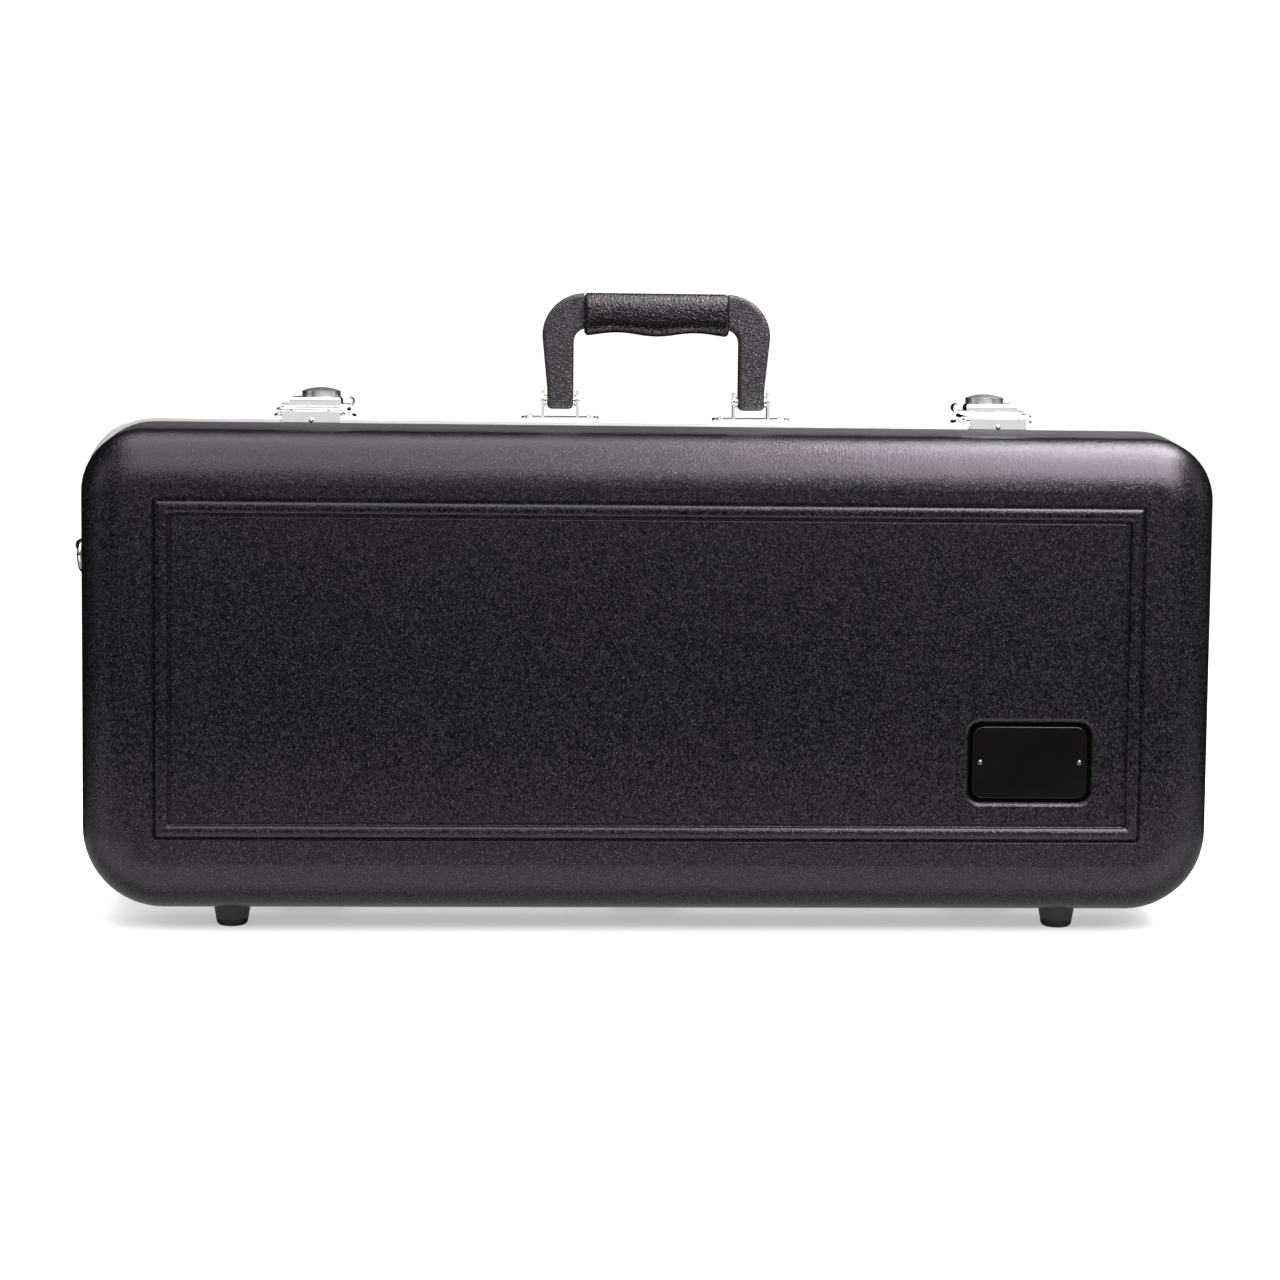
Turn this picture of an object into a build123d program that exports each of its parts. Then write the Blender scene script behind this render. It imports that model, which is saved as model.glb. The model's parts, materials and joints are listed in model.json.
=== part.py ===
from build123d import *
import math
import os

# Alto saxophone case, standing on its feet with the handle up. Millimetres.
# X runs along the length, -Y is the front (the lid), +Z is up (the handle side).
# The origin lies at the middle of the footprint, on the plane the feet stand on.

# Shells, measured at the seam between lid and base
case_length = 660.0
case_height = 282.5
lid_depth = 85.0
base_depth = 105.0
corner_radius = 39.0
low_corner_radius = 50.0
face_edge_radius = 30.0
shell_wall = 3.0
wall_draft = 3.8
foot_clearance = 10.5

# Raised frame on the big faces, and the recess for the badge
frame_length = 566.8
frame_height = 195.4
frame_rise_centre = 3.0
frame_width = 10.6
frame_outer_groove = 1.1
frame_inner_groove = 2.0
frame_groove_depth = 1.2
frame_bead_rise = 1.4
frame_bead_round = 2.2
frame_crest_round = 0.6
frame_lip_round = 0.5
frame_corner = 2.6
recess_length = 72.4
recess_height = 47.4
recess_corner = 8.0
recess_depth = 1.5
recess_lip_round = 0.8
badge_x = 218.5
badge_z = -48.0
badge_margin = 3.0
badge_thick = 1.2
badge_rivet_span = 57.6
badge_grip = 3.0
badge_tail = 2.0

# Aluminium valance on each edge
valance_depth = 14.0
valance_proud = 3.0
valance_bead = 3.0
valance_channel = 1.0
valance_nose = 2.2
valance_edge = 0.6
valance_inner_wall = 1.5
valance_inner_depth = 12.0
lid_web = 2.0
base_web = 4.5
seam_band = 4.5
seam_gap = 0.3
tongue_thick = 1.8
tongue_length = 2.5
tongue_play = 0.4
tongue_start = 60.0
edge_fit = 0.05

# Clearances
running_fit = 0.05
press_play = 0.02
apart = 0.3

# Rivets
rivet_head_radius = 2.4
rivet_head_height = 1.1
rivet_shank_radius = 1.4
rivet_tail_radius = 2.2
rivet_tail_height = 0.9
small_rivet_radius = 1.5
small_rivet_height = 0.8
small_shank_radius = 0.8

# Feet
foot_x = 243.0
lid_foot_depth = 43.0
base_foot_depth = 52.0
foot_top_radius = 11.3
foot_bottom_radius = 8.7
foot_round = 2.5
foot_bore_radius = 3.2
foot_bore_depth = 6.0

# Hinges under the case
hinge_x = (-200.0, 0.0, 200.0)
hinge_length = 40.0
hinge_leaf_thick = 1.2
hinge_leaf_reach = 13.0
knuckle_radius = 2.6
hinge_pin_radius = 1.2
hinge_rivet_depth = 8.3
hinge_rivet_span = 24.0

# Hardware along the top sits a little off centre, as in the photograph
hardware_shift = 3.5

# Latches
latch_x = 203.5
latch_plate_length = 48.0
latch_plate_depth = 25.0
latch_plate_corner = 8.0
latch_plate_thick = 1.5
latch_pivot_depth = 12.0
latch_pivot_height = 4.6
latch_pin_radius = 1.0
latch_ear_inner = 16.0
latch_ear_thick = 1.2
latch_ear_radius = 2.3
lever_cover_width = 31.0
lever_cover_back = 38.0
lever_cover_top = 11.6
lever_cover_round = 2.2
lever_wall = 1.4
lever_roof = 1.2
lever_front = 2.4
lever_brim_width = 43.0
lever_brim_back = 42.0
lever_wall_low = 2.8
lever_relief = 2.8
lever_brim_low = 6.1
lever_brim_high = 7.3
lever_brim_start = 8.8
lever_swing = 92.0
curl_radius = 2.7
curl_thick = 1.0
curl_reach = 22.0
curl_depth = 12.0
dome_radius = 11.5
dome_side = 3.4
dome_height = 5.6
dome_depth = 26.0
dome_shift = 2.5
bail_arm = 6.5
bail_wire = 1.1
bail_half_width = 20.0
bail_bar_depth = 9.0
bail_bend = 2.6
bail_end_x = 13.6

# Catch plates on the lid
catch_length = 34.0
catch_thick = 1.2
catch_back = 1.5
catch_lip_thick = 1.2
catch_lip_height = 2.0
catch_lip_length = 26.0
catch_front_height = 3.4
catch_front_corner = 1.6
catch_rivet_span = 22.0
catch_rivet_depth = 11.0
catch_front_grip = 2.4

# Handle
handle_pivot_depth = 10.0
handle_pivot_height = 11.2
handle_pin_radius = 2.0
handle_half_top = 68.2
handle_half_bottom = 65.1
handle_half_inner = 49.4
handle_leg_bottom = 6.1
handle_top = 75.3
handle_inner_top = 54.3
handle_outer_corner = 26.0
handle_inner_corner = 8.0
handle_leg_corner = 3.0
handle_leg_straight = 18.5
handle_thick = 13.0
handle_edge_round = 2.5
grip_half = 43.2
grip_depth = 24.0
grip_top = 75.6
grip_bottom = 49.9
grip_corner = 9.0
core_depth = 9.0
core_low = 56.5
core_high = 68.5
bracket_length = 46.0
bracket_front = 1.2
bracket_depth = 17.8
bracket_thick = 1.5
bracket_corner = 5.0
bracket_ear_x = 10.35
bracket_ear_thick = 1.5
bracket_ear_radius = 4.6
bracket_curl_radius = 1.1
bracket_rivet_span = 36.0
bracket_rivet_depth = 8.3
washer_radius = 3.2

# D-rings on both ends
ring_below_corner = 35.5
ring_wire = 2.0
ring_bar_half = 13.0
ring_drop = 15.0
ring_corner = 5.0
ring_depth = 7.5
ring_standoff = 3.8
clip_width = 13.0
clip_thick = 1.5
clip_plate_height = 17.0
clip_rivet_rise = 11.0
clip_rivet_span = 6.4

# Padded bed in the base, lining and cushion in the lid
lining_gap = 6.2
lining_recess = 5.0
bed_floor = 10.0
pocket_corner = 14.0
bed_wall = 20.0
pocket_wall = 18.0
mouth_pocket_width = 66.0
mouth_pocket_height = 106.0
mouth_pocket_depth = 52.0
box_pocket_width = 170.0
box_pocket_height = 51.0
box_pocket_inset = 9.0
box_pocket_depth = 72.0
neck_pocket_height = 54.0
neck_pocket_depth = 62.0
bell_knee = 230.0
bell_top = 95.0
bell_top_drop = 35.0
bell_side_top = 73.0
bell_side_low = 65.0
bell_low = 65.0
bell_low_rise = 17.0
body_low_rise = 37.0
body_width = 100.0
box_lid_thick = 4.5
box_lid_margin = 5.0
box_lid_gap = 1.0
box_pin_radius = 1.0
box_pin_seat = 5.0
tab_width = 20.0
tab_reach = 14.0
tab_thick = 1.5
lid_lining_floor = 10.0
lid_lining_wall = 10.0
lid_pocket_corner = 26.0
cushion_length = 560.0
cushion_height = 178.0
cushion_thick = 16.0
cushion_corner = 34.0
cushion_tuck = 4.0
cushion_belly = 5.0
cushion_crown = 5.0
cushion_slope = 46.0

seam_y = (lid_depth - base_depth) / 2
shell_bottom = foot_clearance
mid_z = shell_bottom + case_height / 2
top_z = shell_bottom + case_height + valance_proud
bottom_z = shell_bottom - valance_proud
side_x = case_length / 2 + valance_proud
bend_depth = valance_depth + 1.0
hinge_z = bottom_z - apart - knuckle_radius
rivet_grip = valance_proud + shell_wall + edge_fit + valance_inner_wall + edge_fit
handle_leg_x = (handle_half_bottom + handle_half_inner) / 2
latch_centres = {"left": hardware_shift - latch_x, "right": hardware_shift + latch_x}
ends = {"left": -1, "right": 1}

bed_x = case_length / 2 - lining_gap
bed_z = case_height / 2 - lining_gap
pocket_left = bed_wall - bed_x
pocket_right = bed_x - bed_wall - 4.0
pocket_low = bed_wall - bed_z + 3.0
box_top = bed_z - bed_wall - box_pocket_inset
mouth_pocket = (pocket_left, pocket_left + mouth_pocket_width, pocket_low, pocket_low + mouth_pocket_height)
box_pocket = (pocket_left, pocket_left + box_pocket_width, box_top - box_pocket_height, box_top)
knee_x = pocket_right - bell_knee
neck_top = bed_z - bed_wall
neck_pocket = (box_pocket[1] + pocket_wall, knee_x - 22.0, neck_top - neck_pocket_height, neck_top)
body_left = mouth_pocket[1] + pocket_wall
body_low = body_low_rise - bed_z
body_pocket = (
    (body_left, body_low),
    (pocket_right - bell_low, bell_low_rise - bed_z),
    (pocket_right, bell_side_low - bed_z),
    (pocket_right, bed_z - bell_side_top),
    (pocket_right - bell_top, bed_z - bell_top_drop),
    (knee_x, neck_pocket[2] - bed_wall),
    (body_left, body_low + body_width),
)


def box(x0, x1, y0, y1, z0, z1):
    middle = Pos((x0 + x1) / 2, (y0 + y1) / 2, (z0 + z1) / 2)
    return middle * Box(abs(x1 - x0), abs(y1 - y0), abs(z1 - z0))


def rod(direction, centre, radius, length):
    place = Plane(origin=centre, z_dir=direction)
    return place * Cylinder(radius, length)


def plate(x, y, width, depth, corner, z0, z1):
    sheet = Pos(x, y, z0) * RectangleRounded(width, depth, corner)
    return extrude(sheet, amount=z1 - z0)


def outline(grow, toward):
    half_x = case_length / 2 + grow
    top = -toward * (case_height / 2 + grow)
    sheet = make_face(Polyline((-half_x, -top), (half_x, -top), (half_x, top), (-half_x, top), close=True))
    sheet = fillet([v for v in sheet.vertices() if v.Y * top > 0], corner_radius + grow)
    return fillet([v for v in sheet.vertices() if v.Y * top < 0], low_corner_radius + grow)


def case_plane(y, toward):
    return Plane(origin=(0, y, mid_z), x_dir=(1, 0, 0), z_dir=(0, toward, 0))


def at_depth(toward, depth):
    return seam_y + toward * depth


def slab(grow, toward, near, far):
    return extrude(case_plane(at_depth(toward, near), toward) * outline(grow, toward), amount=far - near)


def ring(grow_in, grow_out, toward, near, far):
    return slab(grow_out, toward, near, far) - slab(grow_in, toward, near, far)


def inset(depth):
    return max(0.0, depth - bend_depth) * math.tan(math.radians(wall_draft))


def tray(grow, toward, near, far, rounding):
    straight = slab(grow, toward, near, bend_depth)
    start = case_plane(at_depth(toward, bend_depth), toward) * outline(grow, toward)
    body = straight + extrude(start, amount=far - bend_depth, taper=wall_draft)
    ordered = body.faces().sort_by(Axis.Y)
    face = ordered[0] if toward < 0 else ordered[-1]
    return fillet(face.edges(), rounding)


def frame_outline(shrink):
    size = (frame_length - 2 * shrink, frame_height - 2 * shrink)
    return Pos(0, frame_rise_centre) * RectangleRounded(*size, frame_corner)


def frame_ring(shrink_out, shrink_in, y, amount):
    sketch = frame_outline(shrink_out) - frame_outline(shrink_in)
    return extrude(case_plane(y, -1) * sketch, amount=amount)


def frame_bead(toward, floor_y):
    rise = -toward * (frame_groove_depth + frame_bead_rise)
    body = extrude(case_plane(floor_y, -1) * frame_outline(frame_outer_groove), amount=rise)
    ordered = body.faces().sort_by(Axis.Y)
    crest = ordered[0] if toward < 0 else ordered[-1]
    body = fillet(crest.edges(), frame_bead_round)
    inside = frame_width - frame_inner_groove
    body -= extrude(case_plane(floor_y, -1) * frame_outline(inside), amount=rise)
    ordered = body.faces().sort_by(Axis.Y)
    crest = ordered[0] if toward < 0 else ordered[-1]
    reach = frame_length / 2 - inside
    inner = [e for e in crest.edges() if abs(e.center().X) < reach + 0.1 and _beside(e, inside)]
    return fillet(inner, frame_crest_round)


def _beside(edge, shrink):
    spot = edge.center()
    from_side = frame_length / 2 - abs(spot.X)
    from_top = frame_height / 2 - abs(spot.Z - mid_z - frame_rise_centre)
    return shrink - 0.1 < min(from_side, from_top) < shrink + frame_corner / 2


def lip_edges(body, face_y):
    level = [edge for edge in body.edges() if abs(edge.center().Y - face_y) < 0.001]
    return [edge for edge in level if _beside(edge, 0) or _beside(edge, frame_width)]


def shell(toward, near, depth):
    outer = tray(0, toward, near, depth, face_edge_radius)
    hollow = tray(-shell_wall, toward, near, depth - shell_wall, face_edge_radius - shell_wall)
    body = outer - hollow
    face_y = at_depth(toward, depth)
    inward = frame_groove_depth * toward
    body -= frame_ring(0, frame_outer_groove + frame_bead_round, face_y, inward)
    body -= frame_ring(frame_width - frame_inner_groove, frame_width, face_y, inward)
    body = fillet(lip_edges(body, face_y), frame_lip_round)
    return body + frame_bead(toward, at_depth(toward, depth - frame_groove_depth))


def badge_place():
    return case_plane(at_depth(-1, lid_depth), -1) * Pos(badge_x, badge_z)


def recess_edges(body):
    middle = badge_place().position
    reach_x = recess_length / 2 + 1
    reach_z = recess_height / 2 + 1
    found = []
    for edge in body.edges():
        away = edge.center() - middle
        if abs(away.Y) < 0.001 and abs(away.X) < reach_x and abs(away.Z) < reach_z:
            found.append(edge)
    return found


def badge_points():
    middle = badge_place() * Pos(0, 0, badge_thick - recess_depth)
    points = [middle * Pos(side * badge_rivet_span / 2, 0) for side in (-1, 1)]
    return [tuple(point.position) for point in points]


def cap_profile(radius, height):
    sphere = (radius**2 + height**2) / (2 * height)
    half = math.asin(radius / sphere) / 2
    middle = (sphere * math.sin(half), height - sphere + sphere * math.cos(half))
    return ThreePointArc((0, height), middle, (radius, 0))


def rivet(point, inward, grip, head=rivet_head_radius, rise=rivet_head_height, shank=rivet_shank_radius):
    tail = rivet_tail_radius if shank == rivet_shank_radius else shank
    corners = [
        (head, 0),
        (shank, 0),
        (shank, -grip),
        (tail, -grip),
        (tail, -grip - rivet_tail_height),
        (0, -grip - rivet_tail_height),
        (0, rise),
    ]
    corners = [spot for i, spot in enumerate(corners) if i == 0 or spot != corners[i - 1]]
    edges = cap_profile(head, rise) + Polyline(*corners)
    body = revolve(Plane.XZ * make_face(edges), Axis.Z)
    outward = tuple(-part for part in inward)
    return Plane(origin=point, z_dir=outward) * body


def rivet_hole(point, inward, length, shank=rivet_shank_radius):
    middle = tuple(p + d * length / 2 for p, d in zip(point, inward))
    return rod(inward, middle, shank + running_fit, length)


def rounded_band(toward, near, far, near_round, far_round):
    body = slab(valance_proud, toward, near, far)
    for index, rounding in ((-1, far_round), (0, near_round)):
        ordered = body.faces().sort_by(Axis.Y)
        face = ordered[index] if toward > 0 else ordered[-1 - index]
        body = fillet(face.edges(), rounding)
    return body - slab(edge_fit, toward, near, far)


def valance(toward, web):
    half_gap = seam_gap / 2
    inner = shell_wall + edge_fit
    crest = valance_proud - valance_channel
    body = ring(-inner - valance_inner_wall, crest, toward, half_gap, half_gap + web)
    body += ring(edge_fit, crest, toward, half_gap, valance_depth)
    body += rounded_band(toward, half_gap, seam_band, valance_edge, valance_edge)
    body += rounded_band(toward, valance_depth - valance_bead, valance_depth, valance_edge, valance_nose)
    body += ring(-inner - valance_inner_wall, -inner, toward, half_gap, valance_inner_depth)
    return body


def tongue():
    outer = -shell_wall / 2 + tongue_thick / 2
    whole = ring(outer - tongue_thick, outer, 1, -seam_gap / 2, tongue_length - seam_gap / 2)
    low = box(-side_x, side_x, seam_y - lid_depth, seam_y + base_depth, 0, shell_bottom + tongue_start)
    return whole - low


def groove():
    outer = -shell_wall / 2 + tongue_thick / 2 + tongue_play
    inner = outer - tongue_thick - 2 * tongue_play
    return ring(inner, outer, 1, 0, tongue_length + tongue_play)


def foot_bottom_z(depth):
    return shell_bottom + inset(depth) + shell_wall / math.cos(math.radians(wall_draft))


def foot_places(toward):
    depth = lid_foot_depth if toward < 0 else base_foot_depth
    return [(side * foot_x, at_depth(toward, depth)) for side in (-1, 1)], depth


def feet(toward, outer_shell):
    places, depth = foot_places(toward)
    height = shell_bottom + inset(depth) + 2.0
    profile = Polyline(
        (0, 0), (foot_bottom_radius, 0), (foot_top_radius, height), (0, height), close=True
    )
    solid = revolve(Plane.XZ * make_face(profile), Axis.Z)
    solid = fillet(solid.edges().group_by(Axis.Z)[0], foot_round)
    solid -= Pos(0, 0, foot_bore_depth / 2) * Cylinder(foot_bore_radius, foot_bore_depth)
    solid -= Cylinder(rivet_shank_radius + running_fit, 4 * height)
    return [Pos(x, y, 0) * solid - outer_shell for x, y in places]


def foot_rivet_points(toward):
    places, depth = foot_places(toward)
    grip = foot_bottom_z(depth) - foot_bore_depth + apart
    return [(x, y, foot_bore_depth) for x, y in places], grip


def hinge_rivet_points(toward):
    z = bottom_z - hinge_leaf_thick
    y = at_depth(toward, hinge_rivet_depth)
    return [(x + side * hinge_rivet_span / 2, y, z) for x in hinge_x for side in (-1, 1)]


def hinge_leaf(x, toward):
    half = hinge_length / 2
    reach = knuckle_radius + apart
    low = bottom_z - hinge_leaf_thick
    edge = at_depth(toward, hinge_leaf_reach)
    leaf = box(x - half, x + half, at_depth(toward, reach), edge, low, bottom_z)
    step = hinge_length / 5
    for index in (0, 2, 4) if toward > 0 else (1, 3):
        start = x - half + index * step + apart / 2
        stop = start + step - apart
        leaf += rod((1, 0, 0), ((start + stop) / 2, seam_y, hinge_z), knuckle_radius, stop - start)
        near = at_depth(toward, seam_gap / 2)
        leaf += box(start, stop, near, at_depth(toward, reach), hinge_z + knuckle_radius / 2, bottom_z)
    leaf -= rod((1, 0, 0), (x, seam_y, hinge_z), hinge_pin_radius + running_fit, hinge_length + 1)
    for point in hinge_rivet_points(toward):
        leaf -= rivet_hole(point, (0, 0, 1), hinge_leaf_thick * 2)
    return leaf


def latch_pivot():
    return at_depth(1, latch_pivot_depth), top_z + latch_pivot_height


def latch_plate_middle():
    return at_depth(1, 1.0 + latch_plate_depth / 2)


def latch_rivet_points():
    y = at_depth(1, hinge_rivet_depth)
    span = latch_plate_length / 2 - rivet_head_radius - 1.2
    spots = [x + side * span for x in latch_centres.values() for side in (-1, 1)]
    return [(x, y, top_z + latch_plate_thick) for x in spots]


def latch_base(x):
    y = latch_plate_middle()
    pivot_y, pivot_z = latch_pivot()
    high = top_z + latch_plate_thick
    body = plate(x, y, latch_plate_length, latch_plate_depth, latch_plate_corner, top_z, high)
    back = at_depth(1, 1.0 + latch_plate_depth)
    skirt = lever_cover_width / 2
    low = shell_bottom + case_height - inset(1.0 + latch_plate_depth) + apart
    body += box(x - skirt, x + skirt, back - latch_plate_thick, back, low, high)
    for side in (-1, 1):
        inner = x + side * latch_ear_inner
        outer = inner + side * latch_ear_thick
        middle = ((inner + outer) / 2, pivot_y, pivot_z)
        ear = rod((1, 0, 0), middle, latch_ear_radius, latch_ear_thick)
        front = pivot_y - latch_ear_radius
        rear = pivot_y + latch_ear_radius
        ear += box(inner, outer, front, rear, high - 0.5, pivot_z)
        body += ear
        body -= rod((1, 0, 0), middle, latch_pin_radius + press_play, latch_ear_thick + 1)
    for point in latch_rivet_points():
        body -= rivet_hole(point, (0, 0, -1), latch_plate_thick * 2)
    return body


def latch_pins():
    pivot_y, pivot_z = latch_pivot()
    start = lever_cover_width / 2 - lever_wall
    stop = latch_ear_inner + latch_ear_thick + 0.4
    pins = []
    for x in latch_centres.values():
        for side in (-1, 1):
            middle = (x + side * (start + stop) / 2, pivot_y, pivot_z)
            pins.append(rod((1, 0, 0), middle, latch_pin_radius, stop - start))
    return pins


def lever(x, inward):
    pivot_y, pivot_z = latch_pivot()
    front = pivot_y - lever_front
    top = top_z + lever_cover_top
    low = top_z + lever_wall_low
    brim_low = top_z + lever_brim_low
    brim_high = top_z + lever_brim_high
    wall_low = pivot_z - 0.5
    cover_depth = lever_cover_back - latch_pivot_depth + lever_front
    cover_y = front + cover_depth / 2
    long_cover = plate(x, cover_y - 12, lever_cover_width, cover_depth + 24, 12, low, top)
    ahead = box(x - 30, x + 30, front - 40, front, top_z - 10, top + 10)
    cover = long_cover - ahead
    cover = fillet(cover.faces().sort_by(Axis.Z)[-1].edges(), lever_cover_round)
    brim_y = pivot_y + lever_brim_start
    brim_depth = at_depth(1, lever_brim_back) - brim_y
    brim = plate(x, brim_y + brim_depth / 2 - 9, lever_brim_width, brim_depth + 18, 16, brim_low, brim_high)
    brim -= box(x - 30, x + 30, brim_y - 40, brim_y, top_z - 10, top + 10)
    body = cover + brim + lever_curl(x, inward, brim_y, brim_low)
    inner_width = lever_cover_width - 2 * lever_wall
    inner_y = cover_y - 12 - lever_wall / 2 + 12
    hollow = plate(x, inner_y, inner_width, cover_depth - lever_wall, 10.6, low - 1, top - lever_roof)
    x0, x1 = x - inner_width / 2, x + inner_width / 2
    square = box(x0, x1, front + lever_wall, cover_y, low - 1, top - lever_roof)
    hollow = (hollow + square) - box(x - 30, x + 30, front - 5, front + lever_wall, top_z - 10, top + 10)
    body -= hollow
    body -= box(x - 30, x + 30, front - 1, pivot_y + lever_relief, top_z - 10, wall_low)
    body -= rod((1, 0, 0), (x, pivot_y, pivot_z), latch_pin_radius + running_fit, 60)
    body -= rod((1, 0, 0), (x, pivot_y + bail_arm, pivot_z), bail_wire + running_fit, 60)
    return body


def lever_curl(x, inward, brim_y, brim_low):
    middle = (x + inward * (curl_reach - curl_radius), brim_y + curl_depth / 2 + 1, brim_low + curl_radius)
    body = rod((0, 1, 0), middle, curl_radius, curl_depth)
    body -= rod((0, 1, 0), middle, curl_radius - curl_thick, curl_depth + 2)
    cut_x = middle[0] - inward * 2 * curl_radius
    front, back = middle[1] - curl_depth, middle[1] + curl_depth
    low = middle[2] - curl_radius + curl_thick
    return body - box(middle[0], cut_x, front, back, low, low + 3 * curl_radius)


def dome(x, inward):
    crest = dome_height - dome_side
    profile = cap_profile(dome_radius, crest)
    sides = Polyline((dome_radius, 0), (dome_radius, -dome_side), (0, -dome_side), (0, crest))
    body = revolve(Plane.XZ * make_face(profile + sides), Axis.Z)
    y = at_depth(1, dome_depth)
    return Pos(x + inward * dome_shift, y, top_z + lever_cover_top + dome_side) * body


def bail(x):
    pivot_y, pivot_z = latch_pivot()
    near = pivot_y + bail_arm
    far = at_depth(-1, bail_bar_depth)
    route = [
        (x - bail_end_x, near, pivot_z),
        (x - bail_half_width, near, pivot_z),
        (x - bail_half_width, far, pivot_z),
        (x + bail_half_width, far, pivot_z),
        (x + bail_half_width, near, pivot_z),
        (x + bail_end_x, near, pivot_z),
    ]
    path = FilletPolyline(*route, radius=bail_bend)
    section = Plane(origin=path @ 0, z_dir=path % 0) * Circle(bail_wire)
    return sweep(section, path=path)


def catch_rivet_points():
    y = at_depth(-1, catch_rivet_depth)
    spots = [x + side * catch_rivet_span / 2 for x in latch_centres.values() for side in (-1, 1)]
    return [(x, y, top_z + catch_thick) for x in spots]


def catch_front_points():
    y = at_depth(-1, valance_depth + apart + catch_thick)
    z = top_z - valance_proud / 2
    return [(x, y, z) for x in latch_centres.values()]


def catch_plate(x):
    half = catch_length / 2
    high = top_z + catch_thick
    front = at_depth(-1, valance_depth + apart)
    face = at_depth(-1, valance_depth + apart + catch_thick)
    body = box(x - half, x + half, face, at_depth(-1, catch_back), top_z, high)
    apron = box(x - half, x + half, face, front, top_z - valance_proud + apart, top_z + catch_front_height)
    body += fillet(apron.edges().filter_by(Axis.Y).group_by(Axis.Z)[-1], catch_front_corner)
    lip_back = at_depth(-1, bail_bar_depth - bail_wire - 0.5)
    lip = box(
        x - catch_lip_length / 2,
        x + catch_lip_length / 2,
        lip_back,
        lip_back + catch_lip_thick,
        top_z,
        high + catch_lip_height,
    )
    body += lip
    corners = body.edges().filter_by(Axis.Z).group_by(Axis.Y)[-1]
    body = fillet(corners, 3.0)
    for point in catch_rivet_points():
        body -= rivet_hole(point, (0, 0, -1), catch_thick * 2)
    for point in catch_front_points():
        body -= rivet_hole(point, (0, 1, 0), catch_thick * 2, small_shank_radius)
    return body


def handle_pivot():
    return at_depth(1, handle_pivot_depth), top_z + handle_pivot_height


def handle_frame():
    y, pivot_z = handle_pivot()
    outer = Polyline(
        (-handle_half_bottom, handle_leg_bottom),
        (-handle_half_bottom, handle_leg_straight),
        (-handle_half_top, handle_top - handle_outer_corner),
        (-handle_half_top, handle_top),
        (handle_half_top, handle_top),
        (handle_half_top, handle_top - handle_outer_corner),
        (handle_half_bottom, handle_leg_straight),
        (handle_half_bottom, handle_leg_bottom),
        (handle_half_inner, handle_leg_bottom),
        (handle_half_inner, handle_inner_top),
        (-handle_half_inner, handle_inner_top),
        (-handle_half_inner, handle_leg_bottom),
        close=True,
    )
    sketch = make_face(outer)
    spots = sketch.vertices()
    top = [v for v in spots if v.Y > handle_top - 1]
    inner = [v for v in spots if abs(v.Y - handle_inner_top) < 1 and abs(v.X) < handle_half_inner + 1]
    low = [v for v in spots if v.Y < handle_leg_bottom + 1]
    sketch = fillet(top, handle_outer_corner - 0.5)
    sketch = fillet([v for v in sketch.vertices() if _near(v, inner)], handle_inner_corner)
    sketch = fillet([v for v in sketch.vertices() if _near(v, low)], handle_leg_corner)
    place = Plane(origin=(hardware_shift, y + handle_thick / 2, top_z), x_dir=(1, 0, 0), z_dir=(0, -1, 0))
    body = extrude(place * sketch, amount=handle_thick)
    faces = body.faces().sort_by(Axis.Y)
    body = fillet(faces[0].edges() + faces[-1].edges(), handle_edge_round)
    gap = grip_half + press_play
    x0, x1 = hardware_shift - gap, hardware_shift + gap
    under = top_z + handle_inner_top - 9
    around = box(x0, x1, y - handle_thick, y + handle_thick, under, top_z + handle_top + 9)
    core = box(x0, x1, y - core_depth / 2, y + core_depth / 2, top_z + core_low, top_z + core_high)
    body = body - (around - core)
    for side in (-1, 1):
        x = hardware_shift + side * handle_leg_x
        body -= rod((1, 0, 0), (x, y, pivot_z), handle_pin_radius + running_fit, 40)
    return body


def _near(vertex, others):
    return any(abs(vertex.X - o.X) < 0.01 and abs(vertex.Y - o.Y) < 0.01 for o in others)


def handle_grip():
    y, _ = handle_pivot()
    middle = (grip_top + grip_bottom) / 2
    place = Plane(origin=(hardware_shift - grip_half, y, top_z + middle), x_dir=(0, 1, 0), z_dir=(1, 0, 0))
    section = RectangleRounded(grip_depth, grip_top - grip_bottom, grip_corner)
    body = extrude(place * section, amount=2 * grip_half)
    body = fillet(body.faces().sort_by(Axis.X)[0].edges() + body.faces().sort_by(Axis.X)[-1].edges(), 2.0)
    x0, x1 = hardware_shift - grip_half - 1, hardware_shift + grip_half + 1
    half = core_depth / 2 + press_play
    low = top_z + core_low - press_play
    return body - box(x0, x1, y - half, y + half, low, top_z + core_high + press_play)


def bracket_rivet_points():
    y = at_depth(1, bracket_rivet_depth)
    z = top_z + bracket_thick
    legs = [hardware_shift - handle_leg_x, hardware_shift + handle_leg_x]
    return [(x + side * bracket_rivet_span / 2, y, z) for x in legs for side in (-1, 1)]


def handle_bracket(x):
    pivot_y, pivot_z = handle_pivot()
    y = at_depth(1, bracket_front + bracket_depth / 2)
    high = top_z + bracket_thick
    body = plate(x, y, bracket_length, bracket_depth, bracket_corner, top_z, high)
    for side in (-1, 1):
        middle = (x + side * bracket_ear_x, pivot_y, pivot_z)
        ear = rod((1, 0, 0), middle, bracket_ear_radius, bracket_ear_thick)
        x0 = middle[0] - bracket_ear_thick / 2
        x1 = middle[0] + bracket_ear_thick / 2
        ear += box(x0, x1, pivot_y - bracket_ear_radius, pivot_y + bracket_ear_radius, high - 0.5, pivot_z)
        curl = (middle[0], pivot_y, pivot_z + bracket_ear_radius)
        ear += rod((0, 1, 0), curl, bracket_curl_radius, bracket_ear_radius)
        ear -= rod((1, 0, 0), middle, handle_pin_radius + press_play, 5)
        body += ear
    for point in bracket_rivet_points():
        body -= rivet_hole(point, (0, 0, -1), bracket_thick * 2)
    return body


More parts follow.
